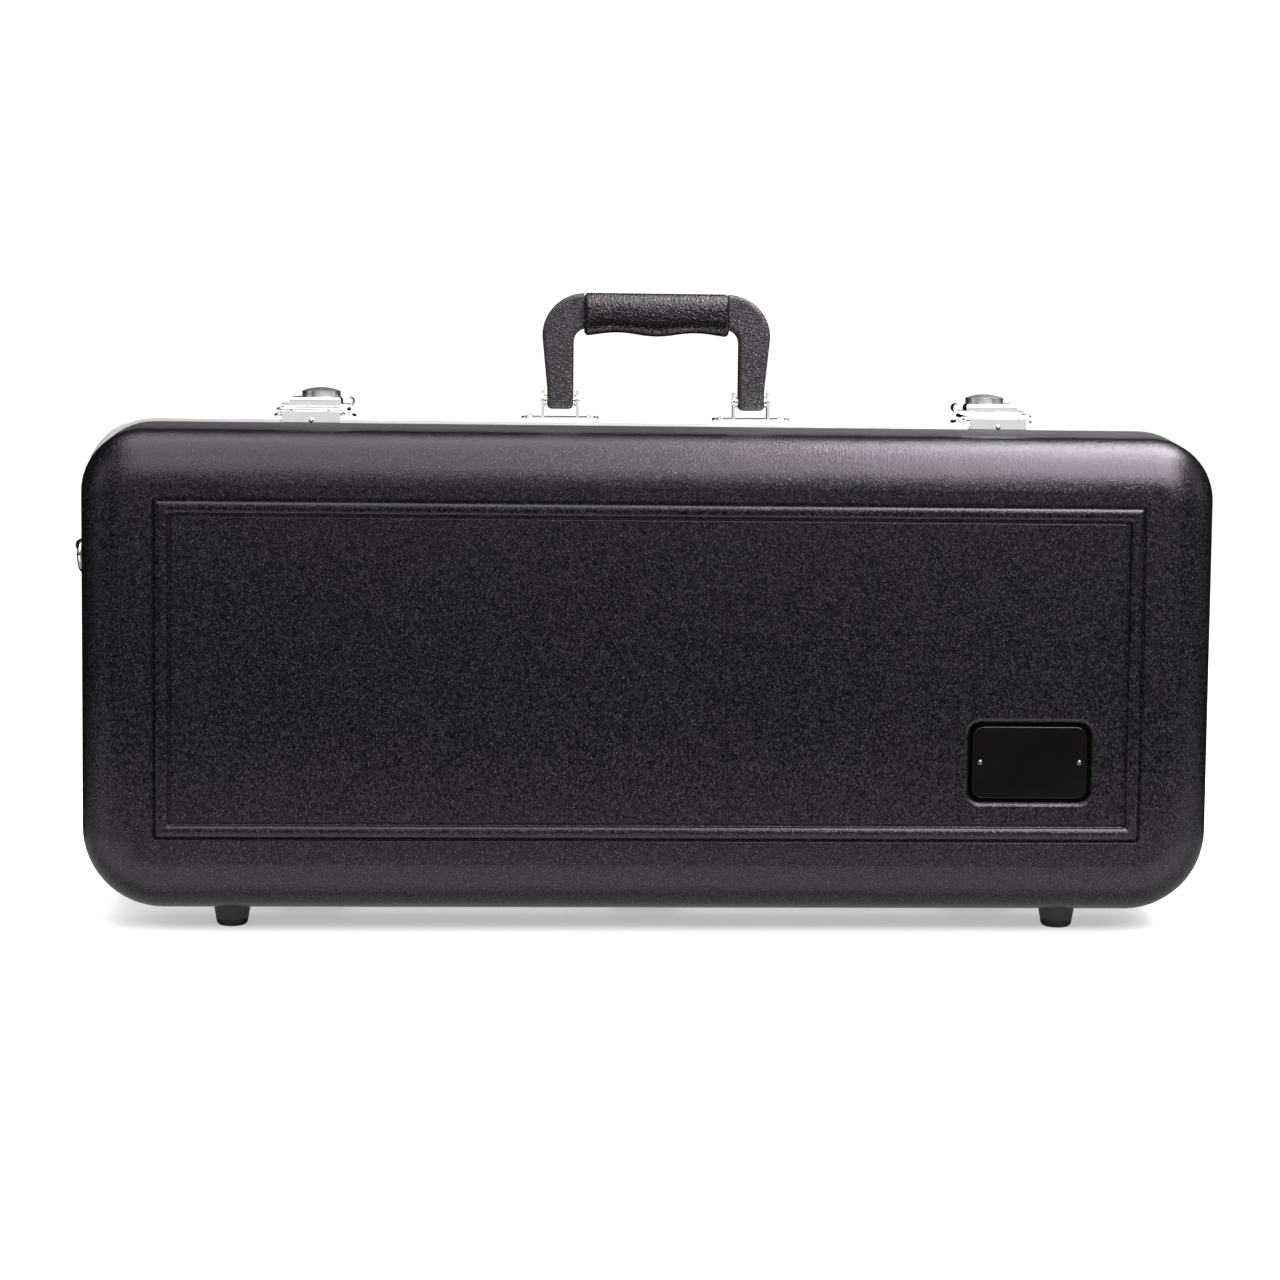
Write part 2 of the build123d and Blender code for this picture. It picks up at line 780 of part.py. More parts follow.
def handle_pins():
    y, z = handle_pivot()
    length = 2 * (bracket_ear_x + bracket_ear_thick)
    legs = [hardware_shift - handle_leg_x, hardware_shift + handle_leg_x]
    return [rod((1, 0, 0), (x, y, z), handle_pin_radius, length) for x in legs]


def handle_washers():
    y, z = handle_pivot()
    ear_face = bracket_ear_x - bracket_ear_thick / 2 - press_play
    washer_thick = ear_face - (handle_half_bottom - handle_half_inner) / 2 - apart
    offset = ear_face - washer_thick / 2
    washers = []
    for leg in (-1, 1):
        for side in (-1, 1):
            middle = (hardware_shift + leg * handle_leg_x + side * offset, y, z)
            body = rod((1, 0, 0), middle, washer_radius, washer_thick)
            washers.append(body - rod((1, 0, 0), middle, handle_pin_radius + press_play, 5))
    return washers


def ring_centre(side):
    z = shell_bottom + case_height - corner_radius - ring_below_corner
    return side * (side_x + ring_standoff), at_depth(1, ring_depth), z


def clip_rivet_points(side):
    x, y, z = ring_centre(side)
    face = side * (side_x + clip_thick)
    rise = z + clip_rivet_rise
    return [(face, y + lean * clip_rivet_span / 2 - 0.4, rise) for lean in (-1, 1)]


def ring_clip(side):
    x, y, z = ring_centre(side)
    face = side * (side_x + clip_thick)
    half = clip_width / 2
    body = box(side * side_x, face, y - half, y + half, z, z + clip_plate_height)
    body += rod((0, 1, 0), (x, y, z), ring_standoff, clip_width)
    body -= rod((0, 1, 0), (x, y, z), ring_wire + running_fit, clip_width + 2)
    for point in clip_rivet_points(side):
        body -= rivet_hole(point, (-side, 0, 0), 2 * clip_thick, small_shank_radius)
    return body


def d_ring(side):
    x, y, z = ring_centre(side)
    low = z - ring_drop
    half = ring_bar_half
    bow = ThreePointArc((x, y + half, z - ring_corner), (x, y, low), (x, y - half, z - ring_corner))
    start = (x, y - half + ring_corner, z)
    stop = (x, y + half - ring_corner, z)
    bar = Line(start, stop)
    turn = math.sqrt(0.5) * ring_corner
    right_mid = (x, y + half - ring_corner + turn, z - ring_corner + turn)
    left_mid = (x, y - half + ring_corner - turn, z - ring_corner + turn)
    right = ThreePointArc(stop, right_mid, (x, y + half, z - ring_corner))
    left = ThreePointArc((x, y - half, z - ring_corner), left_mid, start)
    body = None
    for edge in (bar, right, bow, left):
        section = Plane(origin=edge @ 0, z_dir=edge % 0) * Circle(ring_wire)
        piece = sweep(section, path=edge)
        body = piece if body is None else body + piece
    for spot in ((x, y + half, z - ring_corner), (x, y - half, z - ring_corner)):
        body += Pos(*spot) * Sphere(ring_wire)
    return body


def pocket(bounds, depth, near):
    x0, x1, z0, z1 = bounds
    sketch = Pos((x0 + x1) / 2, (z0 + z1) / 2) * RectangleRounded(x1 - x0, z1 - z0, pocket_corner)
    return extrude(case_plane(at_depth(1, near), -1) * sketch, amount=-depth)


def box_lid_bounds():
    x0, x1, z0, z1 = box_pocket
    return x0 - box_lid_margin, x1 + box_lid_margin, z0 - box_lid_margin, z1 + box_lid_margin


def box_axis():
    _, _, low, _ = box_lid_bounds()
    return at_depth(1, lining_recess + box_lid_thick / 2), mid_z + low + box_lid_thick / 2


def foam_bed():
    face = base_depth - shell_wall
    body = tray(-lining_gap, 1, lining_recess, face, face_edge_radius - shell_wall - 1)
    wedge = make_face(Polyline(*body_pocket, close=True))
    wedge = fillet(wedge.vertices(), pocket_corner)
    depth = face - bed_floor - lining_recess
    body -= extrude(case_plane(at_depth(1, lining_recess), -1) * wedge, amount=-depth)
    body -= pocket(neck_pocket, neck_pocket_depth, lining_recess)
    body -= pocket(mouth_pocket, mouth_pocket_depth, lining_recess)
    body -= pocket(box_pocket, box_pocket_depth, lining_recess)
    x0, x1, z0, z1 = box_lid_bounds()
    front = at_depth(1, lining_recess)
    rear = at_depth(1, lining_recess + box_lid_thick + apart)
    low = mid_z + z0 - box_lid_gap
    high = mid_z + z1 + box_lid_gap
    body -= box(x0 - box_lid_gap, x1 + box_lid_gap, front, rear, low, high)
    y, z = box_axis()
    length = x1 - x0 + 2 * (box_lid_gap + box_pin_seat)
    body -= rod((1, 0, 0), ((x0 + x1) / 2, y, z), box_pin_radius + running_fit, length)
    return body


def box_pin():
    x0, x1, _, _ = box_lid_bounds()
    y, z = box_axis()
    length = x1 - x0 + 2 * (box_lid_gap + box_pin_seat) - 0.6
    return rod((1, 0, 0), ((x0 + x1) / 2, y, z), box_pin_radius, length)


def box_lid():
    x0, x1, _, z1 = box_lid_bounds()
    y, z = box_axis()
    half = box_lid_thick / 2
    body = box(x0, x1, y - half, y + half, z, mid_z + z1)
    body += rod((1, 0, 0), ((x0 + x1) / 2, y, z), half, x1 - x0)
    return body - rod((1, 0, 0), ((x0 + x1) / 2, y, z), box_pin_radius + running_fit, x1 - x0 + 2)


def pull_tab():
    x0, x1, _, z1 = box_lid_bounds()
    x = (x0 + x1) / 2
    y, _ = box_axis()
    face = y - box_lid_thick / 2
    high = mid_z + z1 - 3.0
    return box(x - tab_width / 2, x + tab_width / 2, face - tab_thick, face, high - tab_reach, high)


def lid_lining():
    face = lid_depth - shell_wall
    body = tray(-lining_gap, -1, lining_recess, face, face_edge_radius - shell_wall - 1)
    length = case_length - 2 * (lining_gap + lid_lining_wall)
    height = case_height - 2 * (lining_gap + lid_lining_wall)
    place = case_plane(at_depth(-1, lining_recess), -1)
    depth = face - lid_lining_floor - lining_recess
    body -= extrude(place * RectangleRounded(length, height, lid_pocket_corner), amount=depth)
    for x, _, z in badge_points():
        body -= rod((0, 1, 0), (x, at_depth(-1, face), z), small_rivet_radius, 2 * badge_tail)
    return body


def cushion_section(depth, shrink):
    size = (cushion_length - 2 * shrink, cushion_height - 2 * shrink)
    corner = max(cushion_corner - shrink, cushion_tuck)
    return case_plane(at_depth(-1, depth), 1) * RectangleRounded(*size, corner)


def lid_cushion():
    floor = lid_depth - shell_wall - lid_lining_floor
    sides = cushion_thick - cushion_crown
    levels = [
        (0, cushion_tuck),
        (cushion_belly, 0),
        (sides, cushion_tuck),
        (cushion_thick - cushion_crown / 3, cushion_slope / 2),
        (cushion_thick, cushion_slope),
    ]
    return loft([cushion_section(floor - rise, shrink) for rise, shrink in levels], ruled=True)


def badge():
    size = (recess_length - 2 * badge_margin, recess_height - 2 * badge_margin)
    place = badge_place() * Pos(0, 0, -recess_depth)
    body = extrude(place * RectangleRounded(*size, recess_corner - badge_margin / 2), amount=badge_thick)
    body = fillet(body.faces().sort_by(Axis.Y)[0].edges(), 0.4)
    for point in badge_points():
        body -= rivet_hole(point, (0, 1, 0), 2 * badge_thick, small_shank_radius)
    return body


def drill(body, points, inward, length, shank=rivet_shank_radius):
    for point in points:
        body -= rivet_hole(point, inward, length, shank)
    return body


def save(name, solids):
    shape = solids if not isinstance(solids, list) else Compound(children=[s.solids()[0] for s in solids])
    export_step(shape, f"parts/{name}.step")


def build_lid():
    up, down, back = (0, 0, 1), (0, 0, -1), (0, 1, 0)
    outer = tray(0, -1, 0, lid_depth, face_edge_radius)
    foot_points, foot_grip = foot_rivet_points(-1)
    hinge_points = hinge_rivet_points(-1)
    catch_points = catch_rivet_points()
    front_points = catch_front_points()
    body = shell(-1, seam_gap / 2 + lid_web + edge_fit, lid_depth)
    recess = badge_place() * RectangleRounded(recess_length, recess_height, recess_corner)
    body -= extrude(recess, amount=-recess_depth)
    body = fillet(recess_edges(body), recess_lip_round)
    body = drill(body, badge_points(), back, recess_depth + 6, small_shank_radius)
    body = drill(body, foot_points, up, 20)
    body = drill(body, hinge_points, up, 16)
    body = drill(body, catch_points, down, 16)
    save("lid_shell", body)
    rim = valance(-1, lid_web) + tongue()
    rim = drill(rim, hinge_points, up, 16)
    rim = drill(rim, catch_points, down, 16)
    rim = drill(rim, front_points, back, 5.0, small_shank_radius)
    save("lid_valance", rim)
    save("lid_lining", lid_lining())
    save("lid_cushion", lid_cushion())
    save("lid_feet", feet(-1, outer))
    save("lid_foot_rivets", [rivet(p, up, foot_grip) for p in foot_points])
    save("lid_hinge_leaves", [hinge_leaf(x, -1) for x in hinge_x])
    save("lid_hinge_rivets", [rivet(p, up, hinge_leaf_thick + rivet_grip) for p in hinge_points])
    for side, x in latch_centres.items():
        save(f"{side}_catch_plate", catch_plate(x))
    save("catch_rivets", [rivet(p, down, catch_thick + rivet_grip) for p in catch_points])
    small = (small_rivet_radius, small_rivet_height, small_shank_radius)
    front = [rivet(p, back, catch_front_grip, *small) for p in front_points]
    save("catch_front_rivets", front)
    save("badge_plate", badge())
    save("badge_rivets", [rivet(p, back, badge_grip, *small) for p in badge_points()])


def build_base():
    up, down = (0, 0, 1), (0, 0, -1)
    outer = tray(0, 1, 0, base_depth, face_edge_radius)
    foot_points, foot_grip = foot_rivet_points(1)
    hinge_points = hinge_rivet_points(1)
    latch_points = latch_rivet_points()
    bracket_points = bracket_rivet_points()
    body = shell(1, seam_gap / 2 + base_web + edge_fit, base_depth)
    rim = valance(1, base_web) - groove()
    body = drill(body, foot_points, up, 20)
    for points, inward in ((hinge_points, up), (latch_points, down), (bracket_points, down)):
        body = drill(body, points, inward, 16)
        rim = drill(rim, points, inward, 16)
    for side in ends.values():
        rim = drill(rim, clip_rivet_points(side), (-side, 0, 0), 5.0, small_shank_radius)
    save("base_shell", body)
    save("base_valance", rim)
    save("foam_bed", foam_bed())
    save("base_feet", feet(1, outer))
    save("base_foot_rivets", [rivet(p, up, foot_grip) for p in foot_points])
    save("base_hinge_leaves", [hinge_leaf(x, 1) for x in hinge_x])
    save("base_hinge_rivets", [rivet(p, up, hinge_leaf_thick + rivet_grip) for p in hinge_points])
    pins = [rod((1, 0, 0), (x, seam_y, hinge_z), hinge_pin_radius, hinge_length) for x in hinge_x]
    save("hinge_pins", pins)
    save("compartment_pin", box_pin())


def build_latches():
    down = (0, 0, -1)
    for side, x in latch_centres.items():
        save(f"{side}_latch_plate", latch_base(x))
        save(f"{side}_latch_lever", lever(x, -ends[side]))
        save(f"{side}_latch_dome", dome(x, -ends[side]))
        save(f"{side}_latch_bail", bail(x))
    save("latch_rivets", [rivet(p, down, latch_plate_thick + rivet_grip) for p in latch_rivet_points()])
    save("latch_pins", latch_pins())


def build_handle():
    down = (0, 0, -1)
    save("handle_frame", handle_frame())
    save("handle_grip", handle_grip())
    for side, sign in ends.items():
        save(f"{side}_handle_bracket", handle_bracket(hardware_shift + sign * handle_leg_x))
    save("handle_rivets", [rivet(p, down, bracket_thick + rivet_grip) for p in bracket_rivet_points()])
    save("handle_pins", handle_pins())
    save("handle_washers", handle_washers())


def build_rings():
    rivets = []
    for name, side in ends.items():
        save(f"{name}_ring_clip", ring_clip(side))
        save(f"{name}_d_ring", d_ring(side))
        for point in clip_rivet_points(side):
            sizes = (small_rivet_radius, small_rivet_height, small_shank_radius)
            rivets.append(rivet(point, (-side, 0, 0), clip_thick + 1.0, *sizes))
    save("ring_clip_rivets", rivets)


def build_compartment():
    save("compartment_lid", box_lid())
    save("compartment_tab", pull_tab())


os.makedirs("parts", exist_ok=True)
build_lid()
build_base()
build_latches()
build_handle()
build_rings()
build_compartment()
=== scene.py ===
"""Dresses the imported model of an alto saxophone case: grained shells, bright trim, plush and a studio."""

import json
import math

import bmesh
import bpy
import numpy as np
from mathutils import Matrix, Vector


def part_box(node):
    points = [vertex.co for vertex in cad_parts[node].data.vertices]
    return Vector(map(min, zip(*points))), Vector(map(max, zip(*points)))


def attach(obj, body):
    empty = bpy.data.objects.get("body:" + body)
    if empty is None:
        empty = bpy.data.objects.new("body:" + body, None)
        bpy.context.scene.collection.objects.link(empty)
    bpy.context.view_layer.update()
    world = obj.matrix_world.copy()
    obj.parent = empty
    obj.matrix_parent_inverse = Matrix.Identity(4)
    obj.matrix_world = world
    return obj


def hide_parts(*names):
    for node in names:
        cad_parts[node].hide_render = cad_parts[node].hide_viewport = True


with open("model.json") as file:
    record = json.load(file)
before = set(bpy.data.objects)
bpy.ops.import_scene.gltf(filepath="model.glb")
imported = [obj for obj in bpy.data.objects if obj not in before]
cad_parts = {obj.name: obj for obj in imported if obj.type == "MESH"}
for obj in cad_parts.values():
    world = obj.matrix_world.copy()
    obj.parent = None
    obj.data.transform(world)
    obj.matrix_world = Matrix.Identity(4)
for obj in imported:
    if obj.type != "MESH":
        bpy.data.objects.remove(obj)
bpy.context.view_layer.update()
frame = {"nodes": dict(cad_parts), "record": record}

bl_info = {
    "name": "Alto saxophone case",
    "version": (1, 0, 0),
    "blender": (4, 5, 0),
    "location": "3D View > Sidebar > Case",
    "description": "Builds the looks of a moulded saxophone case on its packed frame",
    "category": "Object",
}

MM = 0.001


# Materials


class Wire:
    """An output socket that Python expressions can use: each operator adds one Math node."""

    def __init__(self, looks, socket):
        self.looks = looks
        self.socket = socket

    def _math(self, operation, *values):
        return self.looks.node("Math", {"operation": operation}, dict(enumerate(values)))

    def __add__(self, other):
        return self._math("ADD", self, other)

    def __sub__(self, other):
        return self._math("SUBTRACT", self, other)

    def __rsub__(self, other):
        return self._math("SUBTRACT", other, self)

    def __mul__(self, other):
        return self._math("MULTIPLY", self, other)

    def __truediv__(self, other):
        return self._math("DIVIDE", self, other)

    def __pow__(self, other):
        return self._math("POWER", self, other)

    __radd__ = __add__
    __rmul__ = __mul__

    def above(self, level):
        return self._math("GREATER_THAN", self, level)

    def sine(self):
        return self._math("SINE", self)

    def size(self):
        return self._math("ABSOLUTE", self)

    def lowest(self, other):
        return self._math("MINIMUM", self, other)

    def highest(self, other):
        return self._math("MAXIMUM", self, other)


class Looks:
    """A material in the making: constants go on the shader's sockets, and wires feed those that vary."""

    def __init__(self, name, **constants):
        self.material = bpy.data.materials.new(name)
        self.material.use_nodes = True
        self.tree = self.material.node_tree
        self.shader = self.tree.nodes["Principled BSDF"]
        for key, value in constants.items():
            self.shader.inputs[key.replace("_", " ")].default_value = value

    def node(self, kind, settings=None, values=None, output=0):
        """Adds a node, makes its settings, gives its sockets values or links, and returns one output."""
        made = self.tree.nodes.new("ShaderNode" + kind)
        for key, value in (settings or {}).items():
            if key == "stops":
                self.set_stops(made.color_ramp, value)
            else:
                setattr(made, key, value)
        for key, value in (values or {}).items():
            self.join(value, made.inputs[key])
        return Wire(self, made.outputs[output])

    @staticmethod
    def set_stops(ramp, stops):
        """Gives a ramp its stops, each a (position, grey level) pair."""
        while len(ramp.elements) < len(stops):
            ramp.elements.new(1.0)
        for element, (position, level) in zip(ramp.elements, stops):
            element.position = position
            element.color = (level, level, level, 1.0)

    def ramp(self, factor, *stops):
        return self.node("ValToRGB", {"stops": stops}, {0: factor})

    def edge_ramp(self, distance, span, *stops):
        """A ramp that runs over span metres and has its middle where the distance is nought."""
        return self.ramp(distance * (1.0 / span) + 0.5, *stops)

    def join(self, value, socket):
        if isinstance(value, Wire):
            self.tree.links.new(value.socket, socket)
        else:
            socket.default_value = value

    def place(self, scale=(1.0, 1.0, 1.0)):
        """Object coordinates in metres, stretched by scale."""
        here = self.node("TexCoord", output="Object")
        return self.node("Mapping", values={"Vector": here, "Scale": scale})

    def noise(self, size, place=None, detail=3.0, roughness=0.55, output=0):
        """Noise whose blobs are about size metres across."""
        where = place or self.place()
        values = {"Vector": where, "Scale": 1.0 / size, "Detail": detail, "Roughness": roughness}
        return self.node("TexNoise", values=values, output=output)

    def cells(self, size, place):
        """Voronoi cells about size metres across: the distance to their edges, in cell widths."""
        values = {"Vector": place, "Scale": 1.0 / size}
        return self.node("TexVoronoi", {"feature": "DISTANCE_TO_EDGE"}, values)

    def shaken(self, size, amount):
        """Coordinates pushed about by noise of that size, by up to amount metres."""
        where = self.place()
        push = self.noise(size, where, detail=1.0, output="Color")
        middle = self.node("VectorMath", {"operation": "SUBTRACT"}, {0: push, 1: (0.5, 0.5, 0.5)})
        scaled = self.node("VectorMath", {"operation": "SCALE"}, {0: middle, "Scale": 2.0 * amount})
        return self.node("VectorMath", {"operation": "ADD"}, {0: where, 1: scaled})

    def mixed(self, factor, first, second):
        """A colour between two colours."""
        return self.node("Mix", {"data_type": "RGBA"}, {0: factor, 6: first, 7: second}, output=2)

    def bump(self, height, distance):
        return self.node("Bump", values={"Height": height, "Distance": distance, "Strength": 1.0})

    def axes(self, vector):
        """The three parts of a vector."""
        return [self.node("SeparateXYZ", values={0: vector}, output=axis) for axis in range(3)]

    def feed(self, **wires):
        for key, wire in wires.items():
            self.join(wire, self.shader.inputs[key.replace("_", " ")])
        return self.material


# A trace of violet in the gloss of the black plastics, as the photograph's light gives them.
SHEEN_TINT = (1.0, 0.84, 1.0, 1.0)

# The crest line of the moulded frame: how far it lies inside the shell at the ends and at the top and bottom,
# how far its middle is above the shell's, and how far the crown reaches to either side of it.
CREST_INSET = (0.05145, 0.0484)
CREST_LIFT = 0.003
CREST_WIDTH = 0.0043

# The badge's recess: the gap round the plate, the radius of its corners, how much its lip is rounded, how far
# from the parting line the front face begins, and the near-black painted into the recess as painted shade.
RECESS_GAP = 0.0029
RECESS_CORNER = 0.0079
RECESS_LIP = 0.0008
FRONT_FROM = 0.07
PAINTED_RECESS_SHADE = (0.0006, 0.0006, 0.0006, 1.0)


def rgba(colour, gain=1.0):
    return (colour[0] * gain, colour[1] * gain, colour[2] * gain, 1.0)


def pebble_height(looks, size):
    """Leather grain: rounded pebbles of uneven height with creases between, some of them sunk."""
    where = looks.shaken(size * 1.3, size * 0.3)
    pebbles = looks.cells(size, where)
    uneven = looks.noise(size * 0.9, where, detail=1.0)
    domes = (pebbles * 2.2).lowest(1.0) ** 0.8
    return domes * (uneven * 0.8 + 0.2) + uneven * 0.4


def crown_height(across, up):
    """The crown of the frame: a parabola across the crest line, one on the line and nought beside it."""
    low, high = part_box("lid_shell")
    half = [(high[axis] - low[axis]) / 2 - inset for axis, inset in zip((0, 2), CREST_INSET)]
    middle = (low[2] + high[2]) / 2 + CREST_LIFT
    beside = (across.size() - half[0]).highest((up - middle).size() - half[1])
    share = (beside.size() / CREST_WIDTH).lowest(1.0)
    return 1.0 - share * share


def recess_edge(across, up):
    """How far a place on the lid's face lies outside the rounded edge of the badge's recess, in metres.

    It is the distance past the straight sides, taken slantwise at the corners, less the corners' radius.
    """
    low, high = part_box("badge_plate")
    middle = ((low[0] + high[0]) / 2, (low[2] + high[2]) / 2)
    straight = [(high[axis] - low[axis]) / 2 + RECESS_GAP - RECESS_CORNER for axis in (0, 2)]
    beside = (across - middle[0]).size() - straight[0]
    above = (up - middle[1]).size() - straight[1]
    out_x = beside.highest(0.0)
    out_z = above.highest(0.0)
    return (out_x * out_x + out_z * out_z) ** 0.5 + beside.highest(above).lowest(0.0) - RECESS_CORNER


def moulded_grain(settings):
    """Black moulded plastic with a leather grain, duller in the creases and near the parting line, its
    pebbles painted lighter and its creases darker as painted highlight and shade.

    The duller rim fades out between 50 and 70 mm from the parting line. The frame's crown and the lip of the
    badge's recess are added to the relief, and the recess is painted near-black as painted shade.
    """
    looks = Looks("moulded_grain", IOR=1.5, Specular_IOR_Level=0.5, Specular_Tint=SHEEN_TINT)
    across, depth, up = looks.axes(looks.place())
    height = pebble_height(looks, settings.grain_size)
    patches = looks.noise(0.09, detail=2.0)
    dust = looks.noise(0.0016, detail=2.0)
    # Painted highlight and shade: the grain's pebbles are painted much lighter and its creases much darker.
    crest_painted_light = looks.ramp(height, (0.3, 0.0), (0.85, 1.0))
    grain_and_painted_light = looks.mixed(crest_painted_light, rgba(settings.shell_colour, 0.1), rgba(settings.shell_colour, 8.5))
    patchy_grain_and_painted_light = looks.mixed(patches * 0.2, grain_and_painted_light, rgba(settings.shell_colour, 1.4))
    rim = looks.ramp(depth.size() * 10.0, (0.5, 1.0), (0.7, 0.0))
    front = (depth * -1.0).above(FRONT_FROM)
    recess = recess_edge(across, up)
    # Painted shade: the recess round the badge is painted near-black, made smoother and left without relief.
    recess_painted_shade = looks.edge_ramp(recess, 0.002, (0.25, 1.0), (0.5, 0.0)) * front
    lip = looks.edge_ramp(recess, 0.004, (0.5, 0.0), (1.0, 1.0)) * front
    crown = crown_height(across, up)
    wear = (patches - 0.5) * 0.08 + (dust - 0.5) * 0.06
    rough = settings.shell_roughness + wear + (0.7 - height) * 0.08
    relief = height * settings.grain_depth + crown * settings.crown_rise + lip * RECESS_LIP
    return looks.feed(
        Base_Color=looks.mixed(recess_painted_shade, patchy_grain_and_painted_light, PAINTED_RECESS_SHADE),
        Roughness=(rough + rim * 0.5) * (1.0 - recess_painted_shade * 0.6),
        Normal=looks.bump(relief * (1.0 - recess_painted_shade), 1.0),
    )


def bright_aluminium(settings):
    """Extruded aluminium: fine draw lines along the edge, faint cloudiness."""
    looks = Looks("bright_aluminium", Metallic=1.0)
    lines = looks.noise(0.0004, looks.place((0.02, 1.0, 0.02)), detail=2.0)
    clouds = looks.noise(0.03, detail=3.0)
    colour = looks.mixed(clouds, rgba(settings.aluminium_colour, 0.93), rgba(settings.aluminium_colour, 1.05))
    rough = settings.aluminium_roughness + (lines - 0.5) * 0.12 + (clouds - 0.5) * 0.1
    return looks.feed(Base_Color=colour, Roughness=rough, Normal=looks.bump(lines, 0.00001))


def plated_chrome(settings):
    """Polished plating with finger marks and hairline scratches."""
    looks = Looks("plated_chrome", Metallic=1.0)
    marks = looks.noise(0.008, detail=4.0, roughness=0.65)
    hairs = looks.noise(0.0008, looks.place((1.0, 0.08, 0.3)), detail=3.0)
    colour = looks.mixed(marks, rgba(settings.chrome_colour, 0.92), rgba(settings.chrome_colour, 1.04))
    rough = settings.chrome_roughness + looks.ramp(marks, (0.45, 0.0), (0.75, 0.12)) + (hairs - 0.5) * 0.03
    return looks.feed(Base_Color=colour, Roughness=rough, Normal=looks.bump(hairs, 0.000004))


def brushed_button(settings):
    """The latch buttons: chrome brushed across its crown, so that reflections blur to a soft grey."""
    looks = Looks("brushed_button", Metallic=1.0)
    lines = looks.noise(0.0005, looks.place((0.04, 1.0, 0.04)), detail=2.0)
    marks = looks.noise(0.006, detail=3.0)
    colour = looks.mixed(marks, rgba(settings.chrome_colour, 0.8), rgba(settings.chrome_colour, 0.95))
    rough = 0.3 + (lines - 0.5) * 0.12
    return looks.feed(Base_Color=colour, Roughness=rough, Normal=looks.bump(lines, 0.000008))


def black_nickel(settings):
    """The badge's small rivets, plated dark."""
    looks = Looks("black_nickel", Metallic=1.0)
    marks = looks.noise(0.001, detail=3.0)
    colour = looks.mixed(marks, rgba(settings.chrome_colour, 0.16), rgba(settings.chrome_colour, 0.24))
    return looks.feed(Base_Color=colour, Roughness=0.16 + marks * 0.1)


def satin_steel():
    """Plain steel with a brushed face and slight darkening."""
    looks = Looks("satin_steel", Metallic=1.0)
    lines = looks.noise(0.0006, looks.place((0.05, 1.0, 1.0)), detail=2.0)
    stains = looks.noise(0.01, detail=3.0)
    colour = looks.mixed(stains, (0.42, 0.42, 0.43, 1.0), (0.62, 0.62, 0.63, 1.0))
    rough = 0.28 + (lines - 0.5) * 0.2
    return looks.feed(Base_Color=colour, Roughness=rough, Normal=looks.bump(lines, 0.00001))


def grained_cover(name, settings, width, dark, bright, colour, gloss, rub_size, rub_strength):
    """A black cover with a pebble grain: creases painted dark as painted shade, pebbles painted brighter as
    painted highlight, and patches that hands have rubbed.
    """
    looks = Looks(name, IOR=1.5, Specular_Tint=SHEEN_TINT)
    height = pebble_height(looks, settings.handle_grain * width)
    rub = looks.noise(rub_size, detail=3.0)
    # Painted shade and highlight: dark and bright scale the colour in the creases and on the pebbles.
    grain_and_painted_light = looks.mixed(height * 0.7, rgba(colour, dark), rgba(colour, bright))
    rough = settings.handle_roughness - gloss + (rub - 0.5) * rub_strength
    return looks.feed(
        Base_Color=grain_and_painted_light, Roughness=rough, Normal=looks.bump(height, settings.handle_grain * 0.22),
    )


def handle_plastic(settings):
    """Black plastic of the handle's arms."""
    return grained_cover(
        "handle_plastic", settings, width=1.0, dark=0.35, bright=1.9, colour=settings.handle_colour,
        gloss=0.0, rub_size=0.02, rub_strength=0.16,
    )


def grip_leather(settings):
    """The grip's sleeve: a supple cover with a coarser grain and a little more gloss."""
    return grained_cover(
        "grip_leather", settings, width=1.2, dark=0.5, bright=1.7, colour=settings.grip_colour,
        gloss=0.09, rub_size=0.018, rub_strength=0.2,
    )


def foot_rubber():
    """Dark grey-brown rubber, matt and slightly dusty."""
    looks = Looks("foot_rubber", IOR=1.5)
    dust = looks.noise(0.0025, detail=4.0, roughness=0.7)
    skin = looks.noise(0.0005, detail=2.0)
    colour = looks.mixed(dust, (0.011, 0.009, 0.008, 1.0), (0.026, 0.022, 0.020, 1.0))
    rough = 0.62 + (dust - 0.5) * 0.2
    return looks.feed(Base_Color=colour, Roughness=rough, Normal=looks.bump(skin, 0.00005))


def badge_lacquer():
    """The bare badge plate: smooth dark lacquer with the faint waviness of paint."""
    looks = Looks(
        "badge_lacquer", Coat_Weight=0.2, Coat_Roughness=0.08, IOR=1.5, Specular_IOR_Level=0.4,
        Specular_Tint=SHEEN_TINT,
    )
    peel = looks.noise(0.0012, detail=1.0)
    haze = looks.noise(0.02, detail=3.0)
    colour = looks.mixed(haze, (0.0012, 0.0009, 0.0012, 1.0), (0.0026, 0.0020, 0.0027, 1.0))
    return looks.feed(Base_Color=colour, Roughness=0.16 + haze * 0.1, Normal=looks.bump(peel, 0.00002))


def short_plush(settings):
    """Short pile: strands that stand every way, darker where the nap lies away, with a soft edge glow."""
    looks = Looks(
        "short_plush", Sheen_Weight=0.35, Sheen_Roughness=0.45, Sheen_Tint=rgba(settings.plush_colour, 9.0),
        IOR=1.45, Specular_IOR_Level=0.15,
    )
    nap = looks.noise(0.035, looks.shaken(0.06, 0.02), detail=3.0)
    pile = looks.noise(0.0009, detail=3.0, roughness=0.7)
    tufts = looks.noise(0.004, detail=2.0)
    shade = looks.mixed(nap, rgba(settings.plush_colour, 0.5), rgba(settings.plush_colour, 1.8))
    colour = looks.mixed(pile * 0.6, shade, rgba(settings.plush_colour, 2.6))
    height = pile * 0.6 + tufts * 0.4
    rough = 0.88 + (nap - 0.5) * 0.1
    return looks.feed(Base_Color=colour, Roughness=rough, Normal=looks.bump(height, 0.0008))


